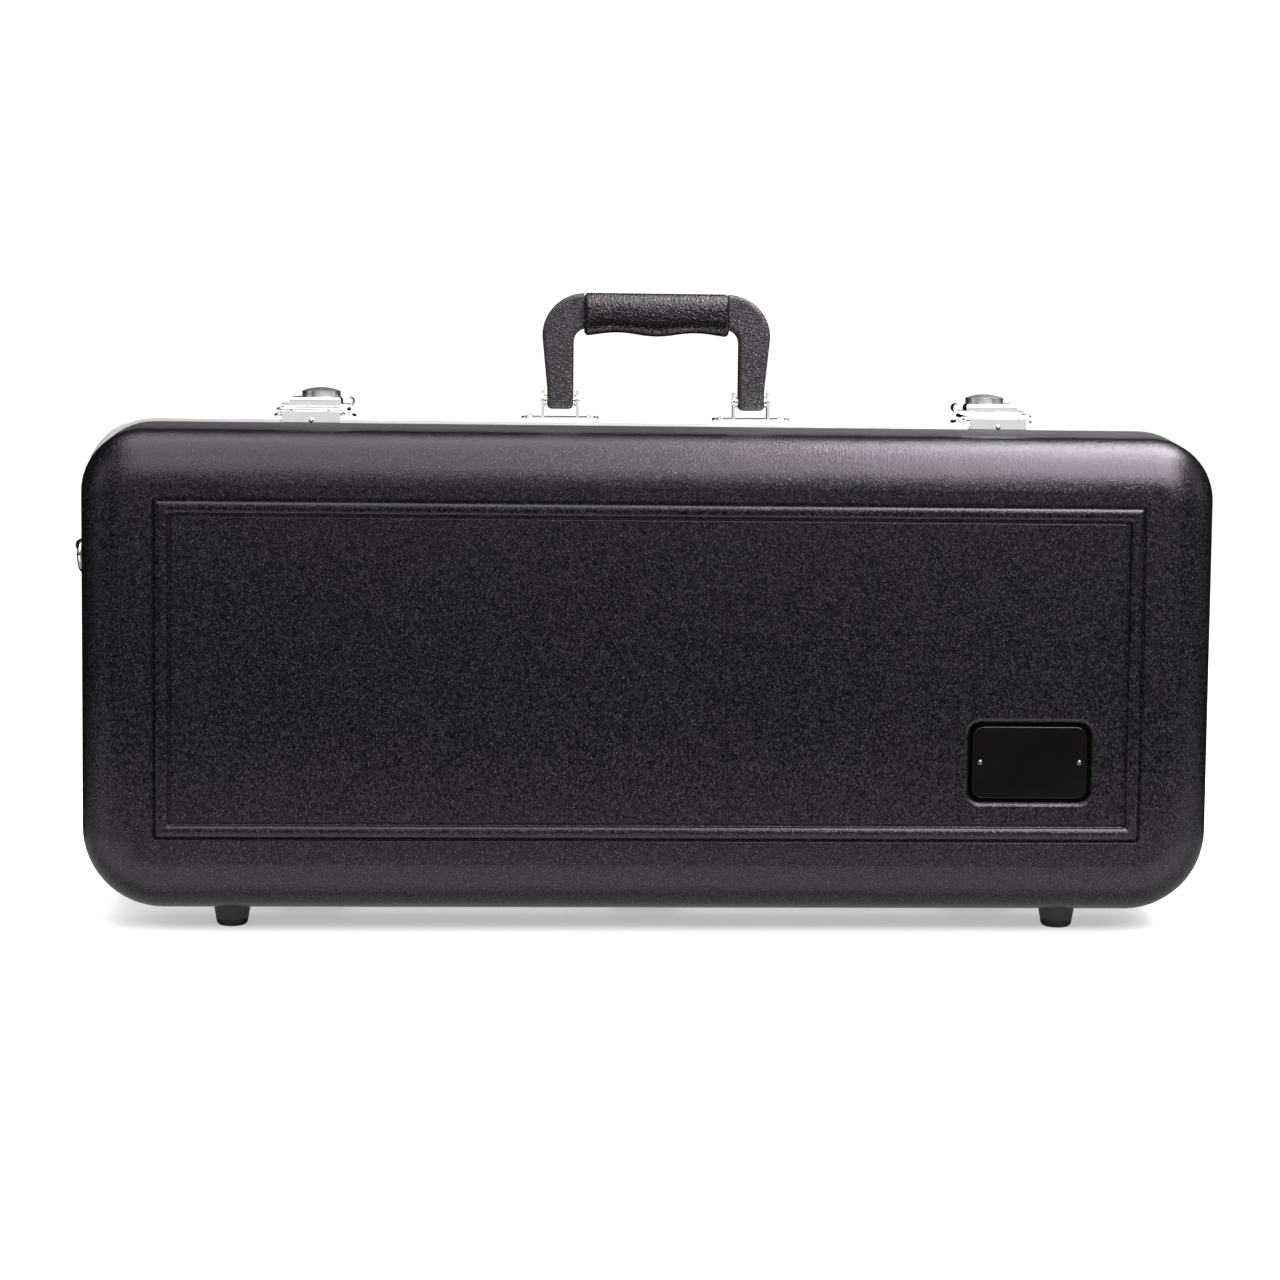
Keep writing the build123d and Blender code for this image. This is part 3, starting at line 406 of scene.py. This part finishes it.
def woven_tape(settings):
    """Woven tape: two thread directions that follow the piece's own UV map, whose unit is a millimetre."""
    looks = Looks("woven_tape", Sheen_Weight=0.2, IOR=1.5)
    along, across, _ = looks.axes(looks.node("TexCoord", output="UV"))
    turn = 2.0 * math.pi / settings.thread_pitch
    warp = (along * turn).sine()
    weft = (across * turn).sine()
    height = warp * weft * 0.5 + 0.5
    colour = looks.mixed(height, rgba(settings.tape_colour, 0.5), rgba(settings.tape_colour, 1.6))
    return looks.feed(Base_Color=colour, Roughness=0.8 - height * 0.15, Normal=looks.bump(height, 0.0003))


def pale_floor(settings):
    """A plain pale floor that glows a little, so that the shadow stays faint, with a trace of unevenness."""
    looks = Looks(
        "pale_floor", Specular_IOR_Level=0.1, Emission_Color=(1.0, 1.0, 1.0, 1.0),
        Emission_Strength=settings.floor_glow,
    )
    stain = looks.noise(0.6, detail=2.0)
    colour = looks.mixed(stain, rgba(settings.floor_colour, 0.99), rgba(settings.floor_colour, 1.0))
    return looks.feed(Base_Color=colour, Roughness=0.9)


# Settings


class CaseShellSettings(bpy.types.PropertyGroup):
    shell_colour: bpy.props.FloatVectorProperty(
        name="Shell colour", description="Colour of the moulded shells", subtype="COLOR",
        default=(0.0024, 0.0020, 0.0028), min=0.0, max=1.0,
    )
    shell_roughness: bpy.props.FloatProperty(
        name="Shell roughness", description="Roughness of the moulded plastic", default=0.22,
        min=0.0, max=1.0, subtype="FACTOR",
    )
    grain_size: bpy.props.FloatProperty(
        name="Grain size", description="Width of one pebble of the grain", default=0.0014,
        min=0.0003, max=0.01, unit="LENGTH",
    )
    grain_depth: bpy.props.FloatProperty(
        name="Grain depth", description="Depth of the creases", default=0.00014,
        min=0.0, max=0.002, unit="LENGTH",
    )
    crown_rise: bpy.props.FloatProperty(
        name="Frame crown", description="How far the moulded frame is rounded up", default=0.0016,
        min=0.0, max=0.01, unit="LENGTH",
    )


class CaseTrimSettings(bpy.types.PropertyGroup):
    aluminium_colour: bpy.props.FloatVectorProperty(
        name="Aluminium colour", description="Colour of the edge trim", subtype="COLOR",
        default=(0.92, 0.92, 0.92), min=0.0, max=1.0,
    )
    aluminium_roughness: bpy.props.FloatProperty(
        name="Aluminium roughness", description="Roughness of the edge trim", default=0.5, min=0.0, max=1.0,
        subtype="FACTOR",
    )
    chrome_colour: bpy.props.FloatVectorProperty(
        name="Chrome colour", description="Colour of the plated hardware", subtype="COLOR",
        default=(0.86, 0.86, 0.86), min=0.0, max=1.0,
    )
    chrome_roughness: bpy.props.FloatProperty(
        name="Chrome roughness", description="Roughness of the plated hardware", default=0.07,
        min=0.0, max=1.0, subtype="FACTOR",
    )
    edge_width: bpy.props.FloatProperty(
        name="Edge width", description="Width of the broken edges of metal pieces", default=0.00042,
        min=0.0, max=0.001, unit="LENGTH",
    )


class CaseHandleSettings(bpy.types.PropertyGroup):
    handle_colour: bpy.props.FloatVectorProperty(
        name="Handle colour", description="Colour of the handle's arms", subtype="COLOR",
        default=(0.021, 0.0175, 0.021), min=0.0, max=1.0,
    )
    grip_colour: bpy.props.FloatVectorProperty(
        name="Grip colour", description="Colour of the grip's sleeve", subtype="COLOR",
        default=(0.003, 0.0025, 0.003), min=0.0, max=1.0,
    )
    handle_grain: bpy.props.FloatProperty(
        name="Handle grain", description="Width of one pebble of the handle's grain", default=0.0016,
        min=0.0003, max=0.01, unit="LENGTH",
    )
    handle_roughness: bpy.props.FloatProperty(
        name="Handle roughness", description="Roughness of the handle", default=0.3, min=0.0, max=1.0,
        subtype="FACTOR",
    )
    finger_pitch: bpy.props.FloatProperty(
        name="Finger pitch", description="Length of one wave of the grip's lower side", default=0.047,
        min=0.01, max=0.1, unit="LENGTH",
    )
    finger_rise: bpy.props.FloatProperty(
        name="Finger rise", description="Height of the waves of the grip's lower side", default=0.0022,
        min=0.0, max=0.01, unit="LENGTH",
    )


class CaseLiningSettings(bpy.types.PropertyGroup):
    plush_colour: bpy.props.FloatVectorProperty(
        name="Plush colour", description="Colour of the plush", subtype="COLOR",
        default=(0.011, 0.011, 0.0125), min=0.0, max=1.0,
    )
    tape_colour: bpy.props.FloatVectorProperty(
        name="Tape colour", description="Colour of the woven pull tab", subtype="COLOR",
        default=(0.03, 0.03, 0.033), min=0.0, max=1.0,
    )
    thread_pitch: bpy.props.FloatProperty(
        name="Thread pitch", description="Pitch of the tape's threads in millimetres", default=1.3,
        min=0.2, max=5.0,
    )
    voxel: bpy.props.FloatProperty(
        name="Remesh size", description="Voxel of the remeshed foam", default=0.004, min=0.002, max=0.01,
        unit="LENGTH",
    )
    pressure: bpy.props.FloatProperty(
        name="Pressure", description="Pressure that fills the cushions", default=4.0, min=0.0, max=20.0,
    )


class CaseStageSettings(bpy.types.PropertyGroup):
    floor_colour: bpy.props.FloatVectorProperty(
        name="Floor colour", description="Colour of the floor", subtype="COLOR",
        default=(0.62, 0.62, 0.62), min=0.0, max=1.0,
    )
    floor_glow: bpy.props.FloatProperty(
        name="Floor glow", description="Light that comes through the floor", default=0.42, min=0.0, max=2.0,
    )
    lens: bpy.props.FloatProperty(
        name="Lens", description="Focal length of the camera", default=79.3,
        min=10.0, max=300.0, unit="CAMERA",
    )


def settings_of(name):
    return getattr(bpy.context.scene, name)


# Meshes


def node_object(node):
    return frame["nodes"][node]


def dress(material, *nodes):
    """Gives CAD nodes a material in place of their plain one."""
    for node in nodes:
        node_object(node).material_slots[0].material = material


def body_of_node(node):
    for body, members in frame["record"]["behaviour"]["bodies"].items():
        if node in members:
            return body
    raise ValueError(f"no body holds {node}")


def new_piece(name, mesh, material, body, *nodes, slot):
    """Links a finished mesh as a piece on a body, standing for the CAD nodes named."""
    piece = bpy.data.objects.new(name, mesh)
    bpy.context.scene.collection.objects.link(piece)
    mesh.materials.clear()
    mesh.materials.append(material)
    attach(piece, body)
    if nodes:
        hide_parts(*nodes)
    return piece


def mesh_of(name, points, faces, smooth=True):
    mesh = bpy.data.meshes.new(name)
    mesh.from_pydata(points.tolist(), [], faces.tolist() if isinstance(faces, np.ndarray) else faces)
    mesh.polygons.foreach_set("use_smooth", np.full(len(mesh.polygons), smooth))
    mesh.update()
    return mesh


def ring_faces(rows, columns):
    """Quads between neighbouring rings of points, with the last column joined to the first."""
    row = np.arange(rows - 1)[:, None] * columns
    column = np.arange(columns)[None, :]
    after = (column + 1) % columns
    quads = np.stack([row + column, row + after, row + columns + after, row + columns + column], axis=-1)
    return quads.reshape(-1, 4)


def capped_tube(name, rings):
    """A tube of closed rings, an array of (rows, columns, 3), with one flat face over each end."""
    rows, columns, _ = rings.shape
    points = rings.reshape(-1, 3)
    faces = ring_faces(rows, columns).tolist()
    faces.append(list(range(columns - 1, -1, -1)))
    faces.append(list(range((rows - 1) * columns, rows * columns)))
    return mesh_of(name, points, faces)


def merged_copy(node):
    """The node's mesh as one closed skin: copied, merged at its seams, and without its stored normals."""
    made = bmesh.new()
    made.from_mesh(node_object(node).data)
    bmesh.ops.remove_doubles(made, verts=made.verts, dist=0.000002)
    mesh = bpy.data.meshes.new(node + "_merged")
    made.to_mesh(mesh)
    made.free()
    return mesh


def through_modifiers(mesh, *steps):
    """The mesh after modifiers, each a (kind, settings) pair, applied in order."""
    holder = bpy.data.objects.new("holder", mesh)
    bpy.context.scene.collection.objects.link(holder)
    for kind, values in steps:
        modifier = holder.modifiers.new(kind, kind)
        for key, value in values.items():
            setattr(modifier, key, value)
    evaluated = holder.evaluated_get(bpy.context.evaluated_depsgraph_get())
    result = bpy.data.meshes.new_from_object(evaluated)
    bpy.data.objects.remove(holder)
    return result


def remeshed(voxel):
    """The modifier step that gives a mesh an even skin of that voxel size."""
    return ("REMESH", {"mode": "VOXEL", "voxel_size": voxel, "use_smooth_shade": True})


# Faces that meet at less than the flat angle are joined. Edges past the sharp angle are rounded, and what is
# left past the crease angle is shaded as an edge.
FLAT_ANGLE = math.radians(0.4)
SHARP_ANGLE = math.radians(35)
CREASE_ANGLE = math.radians(32)


def broken_edges(node, width):
    """A copy of a metal node whose sharp edges are rounded by width, with its flat faces shaded evenly."""
    mesh = merged_copy(node)
    made = bmesh.new()
    made.from_mesh(mesh)
    bmesh.ops.dissolve_limit(made, angle_limit=FLAT_ANGLE, verts=made.verts, edges=made.edges)
    sharp = [edge for edge in made.edges if edge.is_manifold and edge.calc_face_angle() > SHARP_ANGLE]
    bmesh.ops.bevel(
        made, geom=sharp, offset=width, offset_type="OFFSET", segments=2, profile=0.5, affect="EDGES",
        clamp_overlap=True,
    )
    for edge in made.edges:
        edge.smooth = not edge.is_manifold or edge.calc_face_angle() < CREASE_ANGLE
    for face in made.faces:
        face.smooth = True
    made.to_mesh(mesh)
    made.free()
    return through_modifiers(mesh, ("WEIGHTED_NORMAL", {"weight": 100, "keep_sharp": True}))


def soft_foam(node, voxel, rounds):
    """A foam body under plush: the node's copy remeshed, its edges rounded by smoothing."""
    smoothing = ("SMOOTH", {"factor": 0.5, "iterations": rounds})
    return through_modifiers(merged_copy(node), remeshed(voxel), smoothing)


def points_of(mesh):
    points = np.empty(len(mesh.vertices) * 3)
    mesh.vertices.foreach_get("co", points)
    return points.reshape(-1, 3)


def set_points(mesh, points):
    mesh.vertices.foreach_set("co", points.reshape(-1))
    mesh.update()


def puffed(mesh, voxel, pressure, cap, frames=20):
    """A stuffed cover: remeshed, blown up by cloth pressure without gravity, and held near its start by cap.
    """
    start = through_modifiers(mesh, remeshed(voxel))
    before = points_of(start)
    holder = bpy.data.objects.new("cover", start)
    scene = bpy.context.scene
    scene.collection.objects.link(holder)
    cloth = holder.modifiers.new("cloth", "CLOTH")
    cloth.settings.use_pressure = True
    cloth.settings.uniform_pressure_force = pressure
    cloth.settings.effector_weights.gravity = 0.0
    cloth.settings.quality = 5
    cloth.settings.tension_stiffness = 20.0
    cloth.settings.bending_stiffness = 2.0
    for number in range(1, frames + 1):
        scene.frame_set(number)
    evaluated = holder.evaluated_get(bpy.context.evaluated_depsgraph_get())
    after = points_of(evaluated.to_mesh())
    evaluated.to_mesh_clear()
    bpy.data.objects.remove(holder)
    scene.frame_set(1)
    move = after - before
    length = np.linalg.norm(move, axis=1, keepdims=True)
    before = before + move * np.minimum(1.0, cap / np.maximum(length, 1e-9))
    set_points(start, before)
    return through_modifiers(start, ("SUBSURF", {"levels": 1, "render_levels": 1}))


def rounded_loop(half_x, half_z, corner, count):
    """Points round a rounded rectangle in X and Z, evenly spaced along it, anticlockwise from the right."""
    straight_x = half_x - corner
    straight_z = half_z - corner
    quarter = corner * math.pi / 2
    lengths = np.array([2 * straight_z, quarter, 2 * straight_x, quarter] * 2)
    ends = np.concatenate([[0.0], np.cumsum(lengths)])
    run = np.arange(count) / count * ends[-1]
    side = np.clip(np.searchsorted(ends, run, side="right") - 1, 0, 7)
    into = run - ends[side]
    turn = side // 2
    corner_turn = np.where(side % 2 == 1, into / corner, 0.0)
    signs = np.array([[1, -1], [1, 1], [-1, 1], [-1, -1]])
    centre = signs[(turn + (side % 2)) % 4] * np.array([straight_x, straight_z])
    angle = turn * math.pi / 2 + corner_turn
    normal = np.stack([np.cos(angle), np.sin(angle)], axis=1)
    along = np.stack([-np.sin(angle), np.cos(angle)], axis=1)
    slide = np.where(side % 2 == 0, into, 0.0)[:, None]
    return centre + corner * normal + along * slide, normal


def welt(name, loop, normal, depth, radius, sides=10):
    """Piping: a thin round tube that follows a closed loop of (x, z) points at the given y."""
    angle = np.arange(sides) / sides * 2 * math.pi
    out = loop[:, None, :] + normal[:, None, :] * (radius * np.cos(angle))[None, :, None]
    y = depth + radius * np.sin(angle)[None, :].repeat(len(loop), axis=0)
    rings = np.stack([out[..., 0], y, out[..., 1]], axis=-1)
    closed = np.concatenate([rings, rings[:1]], axis=0)
    mesh = mesh_of(name, closed.reshape(-1, 3), ring_faces(len(loop) + 1, sides))
    made = bmesh.new()
    made.from_mesh(mesh)
    bmesh.ops.remove_doubles(made, verts=made.verts, dist=0.00001)
    bmesh.ops.recalc_face_normals(made, faces=made.faces)
    made.to_mesh(mesh)
    made.free()
    return mesh


def superellipse(columns, power_across, power_up):
    """Points of a superellipse: the cosine and the sine round a circle, each raised to its own power."""
    angle = np.arange(columns) / columns * 2 * math.pi
    across = np.sign(np.cos(angle)) * np.abs(np.cos(angle)) ** power_across
    up = np.sign(np.sin(angle)) * np.abs(np.sin(angle)) ** power_up
    return across, up


def grip_mesh(low, high, settings, rows=120, columns=64):
    """The sleeve: a superellipse section carried along X, drawn in at both ends, its lower side in waves.

    The lower side lies higher by half the rise times one less the cosine of a full turn for each pitch,
    counted from the middle.
    """
    middle = (low + high) / 2
    half = (high - low) / 2
    end_length = 0.0025
    end_shrink = 0.16
    u = np.linspace(-1, 1, rows)
    x = half.x * np.sign(u) * (1 - (1 - np.abs(u)) ** 1.15)
    into_end = np.clip((np.abs(x) - (half.x - end_length)) / end_length, 0, 1)
    shrink = 1.0 - end_shrink * into_end ** 2.5
    wave = settings.finger_rise / 2 * (1 - np.cos(2 * math.pi * x / settings.finger_pitch))
    side, rise = superellipse(columns, 2 / 2.9, 2 / 2.9)
    y = middle.y + half.y * shrink[:, None] * side[None, :]
    z = middle.z + half.z * shrink[:, None] * rise[None, :]
    z = z + wave[:, None] * np.clip(-rise, 0, 1)[None, :]
    rings = np.stack([np.broadcast_to(middle.x + x[:, None], y.shape), y, z], axis=-1)
    return capped_tube("grip_sleeve", rings)


def tab_mesh(low, high, rows=40, columns=24):
    """A flat tape: a long thin superellipse in Y and Z carried along X, with UVs in millimetres."""
    half = (high - low) / 2
    middle = (high + low) / 2
    x = half[0] * np.linspace(-1, 1, rows)
    side, rise = superellipse(columns, 0.5, 0.2)
    y = middle[1] + half[1] * np.broadcast_to(side, (rows, columns))
    z = middle[2] + half[2] * np.broadcast_to(rise, (rows, columns))
    rings = np.stack([np.broadcast_to(middle[0] + x[:, None], y.shape), y, z], axis=-1)
    mesh = capped_tube("compartment_pull", rings)
    points = points_of(mesh)
    loops = np.empty(len(mesh.loops), dtype=int)
    mesh.loops.foreach_get("vertex_index", loops)
    flat = points[loops][:, [0, 2]] / MM
    layer = mesh.uv_layers.new(name="weave")
    layer.data.foreach_set("uv", flat.reshape(-1))
    return mesh


# Pieces


SHELLS = ("lid_shell", "base_shell")
VALANCES = ("lid_valance", "base_valance")
PLATED = (
    "left_latch_plate", "right_latch_plate", "left_latch_lever", "right_latch_lever",
    "left_catch_plate", "right_catch_plate", "left_handle_bracket", "right_handle_bracket",
    "left_ring_clip", "right_ring_clip",
)
PLATED_ROUND = (
    "latch_rivets", "latch_pins", "handle_rivets", "handle_pins", "ring_clip_rivets", "catch_rivets",
    "catch_front_rivets", "left_latch_bail", "right_latch_bail", "left_d_ring", "right_d_ring",
)
HINGE_LEAVES = ("base_hinge_leaves", "lid_hinge_leaves")
STEEL_ROUND = (
    "base_foot_rivets", "lid_foot_rivets", "base_hinge_rivets", "lid_hinge_rivets", "hinge_pins",
    "compartment_pin", "handle_washers",
)

# The soft pieces: rounds of smoothing for the foam, the voxel of each cover and how far pressure may move
# it, and the run of the welt.
FOAM_ROUNDS = 6
CUSHION_VOXEL = 0.005
CUSHION_CAP = 0.004
FLAP_VOXEL = 0.0022
FLAP_CAP = 0.0008
WELT_INSET = 0.0005
WELT_CORNER = 0.034
WELT_POINTS = 400
WELT_DEPTH = 0.006
WELT_RADIUS = 0.0018


class CASE_OT_shells(bpy.types.Operator):
    """Gives both shells their grained black plastic"""

    bl_idname = "case.shells"
    bl_label = "Shells"

    def execute(self, context):
        dress(moulded_grain(settings_of("case_shell")), *SHELLS)
        return {"FINISHED"}


class CASE_OT_trim(bpy.types.Operator):
    """Finishes the aluminium valances"""

    bl_idname = "case.trim"
    bl_label = "Valances"

    def execute(self, context):
        dress(bright_aluminium(settings_of("case_trim")), *VALANCES)
        return {"FINISHED"}


class CASE_OT_hardware(bpy.types.Operator):
    """Finishes the latches, brackets, clips, rings, rivets and hinges"""

    bl_idname = "case.hardware"
    bl_label = "Hardware"

    def execute(self, context):
        settings = settings_of("case_trim")
        chrome = plated_chrome(settings)
        steel = satin_steel()
        dress(chrome, *PLATED_ROUND)
        dress(steel, *STEEL_ROUND)
        dress(brushed_button(settings), "left_latch_dome", "right_latch_dome")
        for nodes, material, slot in ((PLATED, chrome, "chrome"), (HINGE_LEAVES, steel, "steel")):
            for node in nodes:
                mesh = broken_edges(node, settings.edge_width)
                new_piece(node + "_edged", mesh, material, body_of_node(node), node, slot=slot)
        return {"FINISHED"}


class CASE_OT_handle(bpy.types.Operator):
    """Finishes the handle's arms and shapes its grip"""

    bl_idname = "case.handle"
    bl_label = "Handle"

    def execute(self, context):
        settings = settings_of("case_handle")
        dress(handle_plastic(settings), "handle_frame")
        low, high = (Vector(corner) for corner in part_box("handle_grip"))
        mesh = grip_mesh(low, high, settings)
        new_piece("grip_sleeve", mesh, grip_leather(settings), "handle", "handle_grip", slot="grip")
        return {"FINISHED"}


class CASE_OT_feet(bpy.types.Operator):
    """Finishes the rubber feet"""

    bl_idname = "case.feet"
    bl_label = "Feet"

    def execute(self, context):
        dress(foot_rubber(), "lid_feet", "base_feet")
        return {"FINISHED"}


class CASE_OT_badge(bpy.types.Operator):
    """Finishes the bare badge plate and its rivets"""

    bl_idname = "case.badge"
    bl_label = "Badge plate"

    def execute(self, context):
        dress(badge_lacquer(), "badge_plate")
        dress(black_nickel(settings_of("case_trim")), "badge_rivets")
        return {"FINISHED"}


class CASE_OT_bed(bpy.types.Operator):
    """Covers the foam bed and the lid's lining with plush"""

    bl_idname = "case.bed"
    bl_label = "Bed and lining"

    def execute(self, context):
        settings = settings_of("case_lining")
        plush = short_plush(settings)
        for node, name in (("foam_bed", "plush_bed"), ("lid_lining", "plush_lining")):
            mesh = soft_foam(node, settings.voxel, FOAM_ROUNDS)
            piece = new_piece(name, mesh, plush, body_of_node(node), node, slot="plush")
        return {"FINISHED"}


class CASE_OT_cushion(bpy.types.Operator):
    """Stuffs the cushion in the lid and pipes its edge"""

    bl_idname = "case.cushion"
    bl_label = "Lid cushion"

    def execute(self, context):
        settings = settings_of("case_lining")
        plush = short_plush(settings)
        low, high = (np.array(corner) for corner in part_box("lid_cushion"))
        mesh = puffed(merged_copy("lid_cushion"), CUSHION_VOXEL, settings.pressure, CUSHION_CAP)
        piece = new_piece("lid_pad", mesh, plush, "lid", "lid_cushion", slot="plush")
        half = (high - low) / 2 - WELT_INSET
        loop, normal = rounded_loop(half[0], half[2], WELT_CORNER, WELT_POINTS)
        middle = (low + high) / 2
        loop = loop + middle[[0, 2]]
        piping = welt("lid_pad_welt", loop, normal, low[1] + WELT_DEPTH, WELT_RADIUS)
        new_piece("lid_pad_welt", piping, plush, "lid", slot="plush")
        return {"FINISHED"}


class CASE_OT_compartment(bpy.types.Operator):
    """Pads the compartment's lid and sews its pull tab"""

    bl_idname = "case.compartment"
    bl_label = "Compartment lid"

    def execute(self, context):
        settings = settings_of("case_lining")
        plush = short_plush(settings)
        mesh = puffed(merged_copy("compartment_lid"), FLAP_VOXEL, settings.pressure, FLAP_CAP)
        piece = new_piece("compartment_pad", mesh, plush, "compartment", "compartment_lid", slot="plush")
        low, high = (np.array(corner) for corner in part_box("compartment_tab"))
        tape = woven_tape(settings)
        tab = tab_mesh(low, high)
        new_piece("compartment_pull", tab, tape, "compartment", "compartment_tab", slot="webbing")
        return {"FINISHED"}


# Stage


CAMERA_PLACE = Vector((-0.052, -1.695, 0.3505))
CAMERA_YAW = math.radians(2.82)
CAMERA_DOWN = math.radians(4.33)
CAMERA_ROLL = math.radians(0.69)
SENSOR_WIDTH = 36.0
PICTURE = 1280
PRINCIPAL = (700.4, 543.0)
FLOOR_HALF = 6.0

# Each light: its name, its place, what it faces, its size and its radiance.
BOXES = (
    ("top_box", (0.80, 0.09, 1.56), (0.80, -0.09, 0.27), (0.95, 1.2), 13.8),
    ("top_box_left", (-0.34, 0.09, 1.56), (-0.34, -0.09, 0.27), (1.33, 1.2), 2.5),
    ("front_box", (0.80, -0.96, 1.236), (0.80, -0.09, 0.27), (0.95, 1.2), 10.5),
    ("front_box_left", (-0.34, -0.96, 1.236), (-0.34, -0.09, 0.27), (1.33, 1.2), 2.6),
    ("chrome_card", (0.0, -2.6, 0.3), (0.0, 0.0, 0.28), (3.0, 0.36), 0.4),
    ("trim_card", (0.0, -0.4, 0.305), (0.0, -0.016, 0.29), (1.0, 0.09), 0.45),
    ("floor_card", (0.0, -0.21, 0.004), (0.0, -0.21, 1.0), (1.5, 0.22), 1.1),
    ("shadow_card", (0.0, 0.0, 0.004), (0.0, 0.0, 1.0), (1.4, 0.2), 0.4),
    ("right_card", (1.8, -0.2, 0.9), (0.2, 0.0, 0.2), (0.8, 1.4), 0.6),
    ("left_card", (-1.8, -0.5, 0.9), (-0.2, 0.0, 0.2), (0.8, 1.4), 0.8),
    ("back_box", (-0.2, 1.6, 2.9), (0.0, 0.0, 0.2), (1.6, 0.5), 1.2),
)
WORLD_STRENGTH = 1.1


def camera_turn():
    """The camera's axes as columns: right, up and back, from yaw towards +X, tilt down and roll."""
    ahead = Vector((
        math.sin(CAMERA_YAW) * math.cos(CAMERA_DOWN),
        math.cos(CAMERA_YAW) * math.cos(CAMERA_DOWN),
        -math.sin(CAMERA_DOWN),
    ))
    level = Vector((math.cos(CAMERA_YAW), -math.sin(CAMERA_YAW), 0.0))
    upright = level.cross(ahead)
    right = level * math.cos(CAMERA_ROLL) + upright * math.sin(CAMERA_ROLL)
    up = -level * math.sin(CAMERA_ROLL) + upright * math.cos(CAMERA_ROLL)
    return Matrix((right, up, -ahead)).transposed()


def soft_box(name, place, target, size, radiance):
    """A rectangular area light that faces its target and has the same radiance all over."""
    light = bpy.data.lights.new(name, "AREA")
    light.shape = "RECTANGLE"
    light.size, light.size_y = size
    light.energy = radiance * math.pi * size[0] * size[1]
    lamp = bpy.data.objects.new(name, light)
    lamp.location = place
    lamp.rotation_euler = (Vector(target) - Vector(place)).to_track_quat("-Z", "Y").to_euler()
    lamp.visible_camera = False
    bpy.context.scene.collection.objects.link(lamp)


class CASE_OT_stage(bpy.types.Operator):
    """Lays the pale floor, hangs the soft boxes and sets the camera at the photograph's angle"""

    bl_idname = "case.stage"
    bl_label = "Stage"

    def execute(self, context):
        settings = settings_of("case_stage")
        scene = context.scene
        corners = ((-1.0, -1.0, 0.0), (1.0, -1.0, 0.0), (1.0, 1.0, 0.0), (-1.0, 1.0, 0.0))
        sheet = mesh_of("floor", np.array(corners) * FLOOR_HALF, [[0, 1, 2, 3]], smooth=False)
        floor = bpy.data.objects.new("floor", sheet)
        scene.collection.objects.link(floor)
        floor.data.materials.append(pale_floor(settings))
        floor.visible_glossy = False
        for box in BOXES:
            soft_box(*box)
        world = bpy.data.worlds.new("studio")
        world.use_nodes = True
        background = world.node_tree.nodes["Background"]
        background.inputs["Color"].default_value = (1.0, 1.0, 1.0, 1.0)
        background.inputs["Strength"].default_value = WORLD_STRENGTH
        world.cycles_visibility.glossy = False
        scene.world = world
        scene.view_settings.view_transform = "Standard"
        camera = bpy.data.cameras.new("camera")
        camera.lens = settings.lens
        camera.sensor_width = SENSOR_WIDTH
        camera.shift_x = (PICTURE / 2 - PRINCIPAL[0]) / PICTURE
        camera.shift_y = (PRINCIPAL[1] - PICTURE / 2) / PICTURE
        viewer = bpy.data.objects.new("camera", camera)
        viewer.matrix_world = Matrix.Translation(CAMERA_PLACE) @ camera_turn().to_4x4()
        scene.collection.objects.link(viewer)
        scene.camera = viewer
        return {"FINISHED"}


class CASE_PT_panel(bpy.types.Panel):
    """Lists the pieces of the case"""

    bl_idname = "CASE_PT_panel"
    bl_label = "Saxophone case"
    bl_space_type = "VIEW_3D"
    bl_region_type = "UI"
    bl_category = "Case"

    def draw(self, context):
        for operator in OPERATORS:
            self.layout.operator(operator.bl_idname)
        for name in SETTINGS:
            group = settings_of(name)
            box = self.layout.box()
            for key in group.bl_rna.properties.keys():
                if key not in ("rna_type", "name"):
                    box.prop(group, key)


SETTINGS = {
    "case_shell": CaseShellSettings,
    "case_trim": CaseTrimSettings,
    "case_handle": CaseHandleSettings,
    "case_lining": CaseLiningSettings,
    "case_stage": CaseStageSettings,
}
OPERATORS = (
    CASE_OT_shells,
    CASE_OT_trim,
    CASE_OT_hardware,
    CASE_OT_handle,
    CASE_OT_feet,
    CASE_OT_badge,
    CASE_OT_bed,
    CASE_OT_cushion,
    CASE_OT_compartment,
    CASE_OT_stage,
)


def register():
    for group in SETTINGS.values():
        bpy.utils.register_class(group)
    for name, group in SETTINGS.items():
        setattr(bpy.types.Scene, name, bpy.props.PointerProperty(type=group))
    for operator in OPERATORS:
        bpy.utils.register_class(operator)
    bpy.utils.register_class(CASE_PT_panel)


def unregister():
    bpy.utils.unregister_class(CASE_PT_panel)
    for operator in reversed(OPERATORS):
        bpy.utils.unregister_class(operator)
    for name in SETTINGS:
        delattr(bpy.types.Scene, name)
    for group in SETTINGS.values():
        bpy.utils.unregister_class(group)


def main():
    register()
    for operator in OPERATORS:
        family, call = operator.bl_idname.split(".")
        getattr(getattr(bpy.ops, family), call)()


if __name__ == "__main__":
    main()
